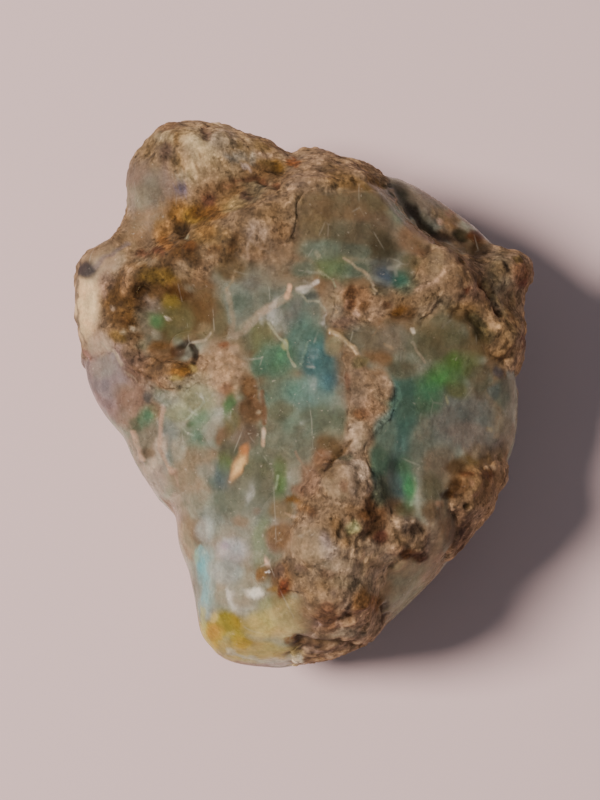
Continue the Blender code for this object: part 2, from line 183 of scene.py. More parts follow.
def read(items, key, width, kind=float):
    flat = np.empty(len(items) * width, dtype=kind)
    items.foreach_get(key, flat)
    return flat.reshape(-1, width)


def write_points(mesh, points):
    mesh.vertices.foreach_set("co", points.astype(np.float32).ravel())
    mesh.update()


def even_out(values, links, rounds, share=0.5):
    """Draw each value towards the mean of its neighbours', so many times."""
    count = np.bincount(links.ravel(), minlength=len(values)).astype(float)
    for _ in range(rounds):
        total = np.bincount(links[:, 0], values[links[:, 1]], len(values))
        total += np.bincount(links[:, 1], values[links[:, 0]], len(values))
        values = values + share * (total / np.maximum(count, 1.0) - values)
    return values


def put_values(mesh, name, values):
    mesh.attributes.new(name, "FLOAT", "POINT").data.foreach_set("value", values.astype(np.float32))


def get_values(mesh, name):
    return read(mesh.attributes[name].data, "value", 1, np.float32)[:, 0].astype(float)


def outside_of(solids, rays):
    """Where a ray towards the heart first meets the solids, and the name of the one that it meets."""
    corners, faces, owners = [], [], []
    for name, solid in solids.items():
        first = len(corners)
        corners += [vert.co / MM for vert in solid.data.vertices]
        faces += [[first + index for index in face.vertices] for face in solid.data.polygons]
        owners += [name] * len(solid.data.polygons)
    search = BVHTree.FromPolygons(corners, faces)
    reach, met = [], []
    for ray in rays:
        start = Vector(HEART + FAR_OUT * ray)
        place, _, index, distance = search.ray_cast(start, -Vector(ray))
        reach.append(FAR_OUT - distance)
        met.append(owners[index])
    return np.array(reach), np.array(met)


def smooth_step(value, low, high):
    t = np.clip((value - low) / (high - low), 0.0, 1.0)
    return t * t * (3.0 - 2.0 * t)


def spots(at, table, soft=0.5):
    """For each row of a table: its soft-edged ellipse, 1 inside and 0 outside, and what else it says."""
    x, y = at
    for place_x, place_y, half_x, half_y, turn, *rest in table:
        c, s = math.cos(math.radians(turn)), math.sin(math.radians(turn))
        across = ((x - place_x) * c + (y - place_y) * s) / half_x
        along = ((y - place_y) * c - (x - place_x) * s) / half_y
        yield 1.0 - smooth_step(np.hypot(across, along), 1.0 - soft, 1.0 + soft), *rest


def in_frame(points):
    """Where each point shows in the camera's frame."""
    apart = points * MM - np.array(camera.location)
    depth = -apart @ np.array(camera_back)
    up = np.array((0.0, math.cos(CAMERA_LEAN), math.sin(CAMERA_LEAN)))
    across = FRAME[0] / 2 + FRAME_LENS * apart[:, 0] / depth
    down = FRAME[1] / 2 - FRAME_LENS * (apart @ up) / depth
    return across, down


bm = bmesh.new()
bmesh.ops.create_icosphere(bm, subdivisions=SKIN_LEVEL, radius=1.0)
skin = mesh_from(bm, "skin")
rays = read(skin.vertices, "co", 3)
links = read(skin.edges, "vertices", 2, int)
reach, met = outside_of(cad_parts, rays)
reach = even_out(reach, links, SKIN_ROUNDS)
calm_reach = even_out(reach, links, CALM_ROUNDS)
above = smooth_step(rays[:, 2], 0.0, 0.3)
flush = np.zeros(len(rays))
sunk = np.zeros(len(rays))
for inside, share, low in spots(in_frame(HEART + reach[:, None] * rays), FLUSH):
    flush = np.maximum(flush, share * inside * above)
    sunk = np.maximum(sunk, low * inside * above)
reach += flush * (calm_reach - reach) - sunk
write_points(skin, HEART + reach[:, None] * rays)
put_values(skin, "flush", flush)
for name in ISLANDS:
    put_values(skin, name, even_out((met == name).astype(float), links, COVER_ROUNDS))
put_values(skin, "depth", even_out((met != "opal").astype(float), links, DEPTH_ROUNDS))

# ---- the stone's colours -----------------------------------------------------------------------------
# Opal and rock grew into each other, so one layout of colours runs over both.  It is given as it shows
# from the camera, in a frame of 600 by 800: right along x, down along y.  The far side has its own mix.
# The layout carries the lamp's light and shade as they show from the camera. unlit() below takes them out
# only in part, so painted shade and painted light stay in it.
MILKY = (150, 146, 128)
SMOKY = (112, 104, 84)
RUSTY = (118, 88, 60)
EARTH = (128, 102, 76)
LEAFY = (112, 128, 104)
SPECK = (92, 66, 42)
# Where a random number is over the first value the far side flashes with the colour.
FAR_FLASHES = ((0.90, (84, 126, 84)), (0.94, (92, 138, 138)), (0.98, (168, 122, 70)))
# Broad colours: place, half width and height, clockwise turn in degrees, red, green, blue, strength.
ZONES = (
    # the window of clear opal in the middle
    (265, 300, 42, 34, -20, 124, 124, 110, 0.9), (250, 283, 10, 7, 0, 122, 106, 96, 0.5),
    (240, 302, 9, 8, 30, 92, 98, 84, 0.7), (262, 337, 13, 18, 0, 118, 112, 76, 0.8),
    (240, 340, 12, 12, 0, 120, 108, 82, 0.5), (296, 316, 14, 17, 0, 114, 112, 104, 0.9),
    (312, 312, 14, 14, 0, 104, 114, 102, 0.8), (306, 345, 22, 26, 0, 88, 110, 98, 0.95),
    (276, 362, 20, 22, 0, 92, 118, 98, 0.85), (320, 366, 20, 23, 0, 74, 106, 106, 0.9),
    (292, 400, 40, 20, 0, 106, 122, 104, 0.85), (268, 420, 22, 16, 0, 112, 106, 84, 0.7),
    (310, 425, 30, 16, 0, 112, 122, 104, 0.85), (270, 455, 30, 20, 0, 116, 112, 92, 0.85),
    (255, 484, 34, 24, 0, 110, 108, 90, 0.85), (280, 476, 8, 20, 0, 102, 114, 74, 0.7),
    # brown clouds in the opal above and round it
    (300, 245, 60, 40, 0, 126, 104, 80, 0.85), (315, 210, 20, 28, 0, 108, 90, 64, 0.8),
    (266, 252, 34, 12, 0, 142, 112, 86, 0.7), (350, 205, 42, 20, 0, 110, 90, 66, 0.95),
    (376, 226, 22, 15, 0, 100, 80, 62, 0.85), (332, 264, 17, 13, 0, 102, 108, 76, 0.85),
    (384, 252, 20, 14, 0, 84, 74, 58, 0.9), (380, 268, 14, 9, 0, 82, 80, 74, 0.85),
    (416, 240, 22, 16, 20, 130, 98, 72, 0.9), (411, 262, 11, 9, 0, 104, 90, 62, 0.8),
    (355, 183, 34, 7, 3, 108, 82, 50, 0.9), (430, 202, 42, 14, 32, 132, 116, 98, 0.95),
    (398, 190, 13, 11, 40, 92, 82, 68, 0.9), (207, 316, 18, 28, 0, 102, 78, 48, 0.9),
    (220, 322, 8, 20, 0, 106, 94, 68, 0.8),
    # the patches of crust beside the window
    (222, 371, 24, 30, 0, 172, 138, 106, 0.95), (190, 384, 22, 12, -20, 148, 132, 104, 0.8),
    (250, 388, 9, 15, -20, 112, 76, 46, 0.9), (252, 410, 14, 12, 0, 124, 84, 56, 0.85),
    (244, 434, 16, 15, 0, 106, 84, 68, 0.85), (234, 424, 9, 10, 0, 122, 90, 58, 0.8),
    (334, 302, 12, 24, 0, 140, 118, 94, 0.95), (356, 300, 22, 14, 0, 138, 102, 72, 0.95),
    (378, 312, 10, 16, 0, 138, 110, 84, 0.85), (400, 298, 18, 9, 0, 120, 94, 66, 0.9),
    (346, 325, 15, 8, 0, 114, 90, 74, 0.85), (334, 338, 10, 9, 0, 138, 110, 80, 0.8),
    (366, 338, 20, 14, 0, 110, 102, 84, 0.9), (396, 338, 20, 15, 0, 120, 110, 94, 0.9),
    (419, 322, 13, 12, 0, 136, 108, 82, 0.85), (356, 384, 15, 24, 0, 124, 100, 78, 0.95),
    (379, 386, 11, 20, 0, 142, 112, 84, 0.9), (361, 362, 8, 6, 0, 106, 94, 62, 0.8),
    # the clear facet on the right
    (440, 322, 28, 24, 0, 110, 96, 72, 0.9), (400, 402, 20, 34, 0, 76, 100, 90, 0.95),
    (394, 446, 20, 26, 0, 78, 98, 88, 0.95), (396, 478, 17, 20, 0, 78, 94, 90, 0.9),
    (425, 440, 16, 40, 10, 94, 92, 78, 0.8), (462, 418, 34, 30, 0, 100, 97, 89, 0.95),
    (472, 437, 32, 14, 0, 112, 102, 92, 0.8), (512, 412, 10, 32, 0, 150, 138, 118, 0.95),
    (503, 396, 10, 10, 0, 96, 90, 74, 0.8), (434, 482, 15, 28, 0, 112, 98, 78, 0.8),
    (442, 460, 16, 14, 0, 106, 88, 72, 0.8),
    # the smooth foot of opal below the heel
    (408, 592, 32, 28, -40, 140, 128, 102, 0.97), (434, 562, 8, 28, 12, 140, 116, 92, 0.85),
    (400, 571, 24, 6, -10, 116, 100, 72, 0.7),
    # the milky knob at the lower left
    (240, 520, 44, 22, 0, 142, 138, 122, 0.9), (236, 548, 26, 20, 0, 154, 142, 126, 0.9),
    (218, 516, 20, 10, 0, 134, 132, 120, 0.8), (262, 540, 8, 28, 12, 128, 130, 100, 0.8),
    # (284, 616) and (260, 626) are the knob's milky colour with a painted glow of light through its thin
    # foot.
    (240, 588, 36, 20, 0, 158, 144, 122, 0.9), (284, 616, 26, 20, 0, 188, 162, 108, 0.95),
    (260, 626, 14, 14, 0, 190, 168, 102, 0.8), (226, 630, 23, 17, 8, 144, 122, 38, 0.95),
    (270, 603, 12, 7, 0, 142, 140, 102, 0.7), (255, 650, 42, 12, 4, 170, 162, 132, 0.9),
    (210, 640, 12, 18, 0, 180, 164, 92, 0.85), (206, 580, 10, 34, 3, 148, 166, 158, 0.95),
    (186, 540, 8, 24, 0, 160, 140, 112, 0.85), (178, 506, 9, 18, 0, 164, 142, 128, 0.8),
    (192, 496, 16, 16, 0, 150, 138, 116, 0.7),
    # the left flank, from the purple side down to the cream seams
    (112, 385, 34, 38, 0, 150, 126, 124, 0.97), (104, 366, 14, 12, 0, 146, 132, 122, 0.8),
    (134, 398, 20, 14, 20, 142, 110, 88, 0.8), (130, 414, 18, 14, 0, 148, 118, 98, 0.8),
    (142, 372, 24, 15, 42, 114, 86, 64, 0.85), (150, 440, 14, 20, 0, 130, 116, 98, 0.85),
    (156, 480, 14, 20, 20, 168, 146, 132, 0.8), (196, 398, 20, 14, 0, 152, 146, 112, 0.8),
    (180, 412, 14, 10, 0, 150, 148, 112, 0.7), (170, 444, 11, 24, -8, 128, 130, 120, 0.9),
    (188, 436, 10, 10, 0, 118, 120, 100, 0.7), (196, 460, 22, 14, 0, 144, 122, 98, 0.85),
    (192, 478, 24, 16, 0, 150, 130, 106, 0.8), (218, 476, 12, 17, 0, 96, 106, 96, 0.85),
    (226, 456, 8, 14, 0, 94, 104, 70, 0.7),
    # the lobe at the top left
    (205, 155, 84, 34, 8, 134, 110, 80, 0.9), (150, 186, 28, 24, 0, 128, 106, 90, 0.95),
    (152, 191, 12, 13, 0, 106, 94, 76, 0.8), (173, 181, 15, 11, 0, 126, 104, 90, 0.85),
    (139, 200, 10, 12, 0, 140, 126, 104, 0.8), (195, 155, 19, 23, 0, 212, 182, 138, 0.92),
    (207, 176, 11, 14, -20, 168, 138, 104, 0.85), (221, 140, 14, 10, 0, 168, 144, 114, 0.8),
    (163, 160, 7, 14, 0, 112, 92, 82, 0.8), (266, 155, 14, 6, 10, 146, 116, 88, 0.8),
    (270, 166, 16, 8, 0, 108, 80, 40, 0.9),
    # the belt of crust below it
    (235, 222, 60, 30, 0, 124, 98, 70, 0.7), (180, 258, 40, 20, -10, 102, 76, 50, 0.85),
    (178, 211, 16, 11, 20, 144, 100, 46, 0.9), (162, 229, 10, 12, 30, 146, 104, 58, 0.85),
    (198, 214, 15, 11, 0, 118, 90, 34, 0.85), (218, 210, 15, 9, 0, 134, 94, 50, 0.8),
    (233, 200, 13, 10, 0, 150, 124, 80, 0.8), (206, 236, 19, 10, 0, 138, 108, 66, 0.7),
    (249, 191, 13, 10, 0, 98, 86, 64, 0.8), (304, 180, 20, 16, 0, 134, 108, 84, 0.75),
    # the eye, its ring of crust and the cream nose
    (148, 300, 44, 40, 0, 84, 60, 34, 0.9), (122, 304, 16, 22, 0, 94, 66, 34, 0.85),
    (160, 276, 20, 9, 0, 110, 84, 36, 0.8), (150, 318, 15, 17, 0, 114, 104, 86, 0.95),
    (178, 320, 16, 22, 0, 102, 92, 60, 0.9), (172, 303, 10, 6, 0, 126, 106, 50, 0.85),
    (152, 305, 12, 6, 0, 130, 112, 98, 0.7), (162, 352, 18, 11, 10, 110, 78, 48, 0.9),
    (88, 302, 12.5, 38, 0, 234, 192, 146, 0.99), (104, 266, 20, 13, -24, 170, 144, 116, 0.9),
    (101, 344, 12, 12, 40, 178, 150, 126, 0.9), (106, 284, 6, 12, 0, 160, 126, 102, 0.6),
    # the shoulder and its knob
    (434, 262, 9, 18, 0, 112, 92, 66, 0.75), (472, 288, 24, 18, 30, 108, 82, 58, 0.85),
    (500, 276, 13, 22, 0, 98, 84, 62, 0.8), (520, 276, 10, 14, 0, 112, 78, 56, 0.9),
    (498, 348, 18, 15, 0, 90, 68, 44, 0.9), (509, 324, 12, 17, 0, 128, 100, 66, 0.85),
    (474, 347, 14, 14, 0, 100, 80, 56, 0.8),
    # the tongue
    (345, 480, 40, 50, 0, 126, 102, 78, 0.9), (340, 560, 60, 34, 0, 122, 100, 76, 0.85),
    (340, 615, 50, 26, 0, 120, 96, 74, 0.9), (372, 410, 16, 12, 0, 140, 108, 80, 0.9),
    (359, 436, 13, 14, 0, 166, 140, 112, 0.85), (340, 481, 15, 19, 0, 156, 128, 98, 0.92),
    (308, 545, 23, 18, 0, 146, 121, 94, 0.92), (336, 566, 20, 9, 10, 164, 138, 112, 0.85),
    (374, 518, 15, 24, 0, 86, 58, 36, 0.9), (277, 540, 11, 13, 0, 126, 96, 78, 0.85),
    (310, 480, 10, 17, 0, 134, 102, 80, 0.8), (316, 592, 16, 10, 0, 138, 110, 80, 0.8),
    (350, 580, 18, 8, 0, 130, 110, 84, 0.8), (365, 600, 14, 13, 0, 98, 66, 34, 0.9),
    (368, 616, 13, 8, 0, 84, 52, 38, 0.8), (345, 633, 26, 6, 0, 118, 102, 82, 0.8),
    (412, 540, 18, 22, 0, 106, 84, 60, 0.9), (404, 522, 12, 9, 0, 126, 106, 88, 0.8),
    (436, 535, 10, 28, 0, 130, 106, 84, 0.9),
    # the heel
    (474, 482, 27, 24, -30, 120, 90, 60, 0.95), (460, 532, 11, 26, 0, 88, 66, 50, 0.9),
    (470, 459, 18, 6, -10, 90, 70, 42, 0.7),
    # finer changes of shade: in the facet,
    (440, 346, 34, 20, 0, 88, 80, 58, 0.9), (456, 389, 13, 10, 0, 88, 84, 50, 0.85),
    (452, 371, 30, 15, -20, 82, 92, 58, 0.9), (422, 396, 22, 20, 0, 74, 92, 70, 0.9),
    (405, 404, 12, 28, 0, 66, 86, 74, 0.9), (404, 369, 14, 10, 0, 94, 84, 64, 0.7),
    (379, 462, 10, 22, 0, 66, 84, 68, 0.9), (381, 492, 9, 13, 0, 76, 82, 64, 0.85),
    (430, 488, 11, 15, 0, 92, 86, 66, 0.85), (405, 511, 10, 8, 0, 88, 82, 58, 0.8),
    (430, 511, 10, 9, 0, 102, 80, 58, 0.85), (386, 433, 11, 16, 0, 96, 108, 94, 0.9),
    (385, 387, 8, 15, 0, 148, 118, 90, 0.9), (505, 392, 9, 14, 0, 112, 108, 90, 0.85),
    (480, 380, 13, 15, 0, 82, 78, 62, 0.8), (505, 428, 9, 16, 0, 138, 118, 96, 0.85),
    # in the brown above the window,
    (355, 236, 34, 14, 0, 92, 82, 64, 0.9), (382, 246, 16, 14, 0, 70, 62, 46, 0.9),
    (322, 251, 24, 12, 0, 106, 114, 98, 0.85), (357, 252, 14, 8, 0, 88, 92, 78, 0.9),
    (358, 270, 12, 8, 0, 86, 92, 76, 0.8), (404, 281, 15, 13, 0, 84, 86, 66, 0.85),
    (380, 290, 10, 8, 0, 84, 76, 58, 0.85), (332, 172, 13, 8, 0, 92, 70, 46, 0.8),
    (256, 232, 11, 11, 0, 162, 134, 108, 0.7), (281, 232, 13, 11, 0, 108, 82, 58, 0.75),
    (231, 269, 17, 12, 0, 108, 86, 58, 0.9), (205, 288, 11, 11, 0, 106, 80, 54, 0.8),
    # in the window,
    (266, 304, 26, 14, -20, 110, 112, 98, 0.85), (304, 270, 12, 7, 0, 98, 106, 90, 0.8),
    (334, 306, 9, 14, 0, 152, 130, 102, 0.8), (334, 347, 8, 9, 0, 138, 126, 98, 0.8),
    (257, 366, 9, 11, 0, 86, 112, 92, 0.8), (308, 394, 26, 16, 0, 106, 128, 118, 0.9),
    (322, 416, 22, 12, 0, 92, 98, 80, 0.9), (327, 448, 12, 13, 0, 98, 76, 50, 0.85),
    (281, 411, 12, 9, 0, 100, 100, 80, 0.8), (305, 440, 12, 17, 0, 104, 104, 88, 0.8),
    (250, 412, 13, 12, 0, 108, 82, 58, 0.8), (228, 450, 10, 12, 0, 88, 84, 64, 0.85),
    (231, 416, 9, 20, 0, 108, 100, 68, 0.8), (256, 468, 14, 12, 0, 98, 98, 76, 0.85),
    # in the belt and the lobe,
    (222, 191, 26, 11, 0, 102, 72, 44, 0.8), (205, 210, 14, 10, 0, 96, 62, 28, 0.85),
    (257, 172, 16, 8, 0, 92, 66, 40, 0.8), (182, 250, 13, 10, 0, 82, 54, 24, 0.8),
    (231, 251, 12, 10, 0, 88, 66, 40, 0.8), (206, 252, 10, 8, 0, 154, 124, 90, 0.8),
    (205, 231, 11, 9, 0, 112, 80, 42, 0.8), (180, 160, 13, 17, 0, 136, 108, 78, 0.75),
    (277, 177, 16, 9, 0, 92, 68, 44, 0.75), (258, 210, 16, 10, 0, 98, 76, 52, 0.7),
    (155, 160, 9, 16, 0, 114, 92, 68, 0.75),
    # round the eye and down the left flank,
    (129, 287, 7, 9, 0, 150, 112, 76, 0.8), (141, 302, 8, 11, 0, 72, 50, 28, 0.85),
    (129, 270, 9, 8, 0, 150, 118, 86, 0.8), (183, 270, 11, 8, 0, 134, 112, 86, 0.8),
    (130, 351, 9, 9, 0, 104, 80, 56, 0.8), (157, 370, 12, 9, 0, 84, 62, 40, 0.85),
    (181, 370, 12, 8, 0, 92, 62, 28, 0.85), (205, 332, 9, 9, 0, 136, 118, 90, 0.7),
    (155, 411, 9, 9, 0, 138, 104, 76, 0.8), (156, 454, 8, 18, 20, 194, 172, 150, 0.9),
    (179, 449, 9, 12, 0, 166, 156, 136, 0.8), (206, 471, 9, 9, 0, 156, 144, 126, 0.8),
    # in the shoulder,
    (466, 312, 18, 11, 0, 78, 58, 34, 0.85), (480, 330, 8, 10, 0, 44, 38, 24, 0.9),
    (406, 311, 12, 8, 0, 88, 62, 36, 0.85), (430, 309, 10, 8, 0, 134, 110, 84, 0.8),
    (480, 250, 11, 9, 0, 62, 46, 32, 0.9), (480, 290, 9, 8, 0, 144, 110, 84, 0.85),
    (505, 269, 9, 9, 0, 90, 72, 52, 0.8),
    # in the tongue and the heel,
    (356, 471, 11, 10, 0, 190, 162, 134, 0.9), (329, 470, 10, 12, 0, 100, 78, 56, 0.85),
    (281, 509, 12, 11, 0, 118, 98, 68, 0.85), (282, 534, 13, 14, 0, 122, 92, 64, 0.85),
    (330, 549, 10, 9, 0, 176, 150, 126, 0.85), (367, 562, 36, 17, 0, 150, 124, 96, 0.85),
    (408, 562, 20, 13, 0, 142, 120, 92, 0.8), (353, 520, 10, 16, 0, 104, 80, 58, 0.8),
    (380, 588, 13, 10, 0, 142, 118, 90, 0.85), (374, 622, 20, 13, 0, 126, 102, 78, 0.85),
    (328, 618, 13, 15, 0, 90, 62, 42, 0.85), (308, 645, 22, 12, 0, 78, 58, 42, 0.95),
    (281, 582, 11, 20, 0, 108, 76, 46, 0.85), (456, 489, 10, 10, 0, 68, 44, 24, 0.8),
    (480, 450, 9, 8, 0, 120, 100, 80, 0.8), (456, 468, 9, 8, 0, 78, 58, 36, 0.8),
    # and in the knob.
    (228, 500, 15, 17, 0, 104, 108, 92, 0.85), (206, 530, 9, 12, 0, 176, 174, 164, 0.8),
    (232, 551, 14, 13, 0, 188, 180, 178, 0.85), (227, 572, 15, 12, 0, 170, 172, 164, 0.85),
    (252, 650, 44, 11, 4, 156, 134, 78, 0.95), (209, 641, 11, 19, 0, 180, 150, 56, 0.95),
)
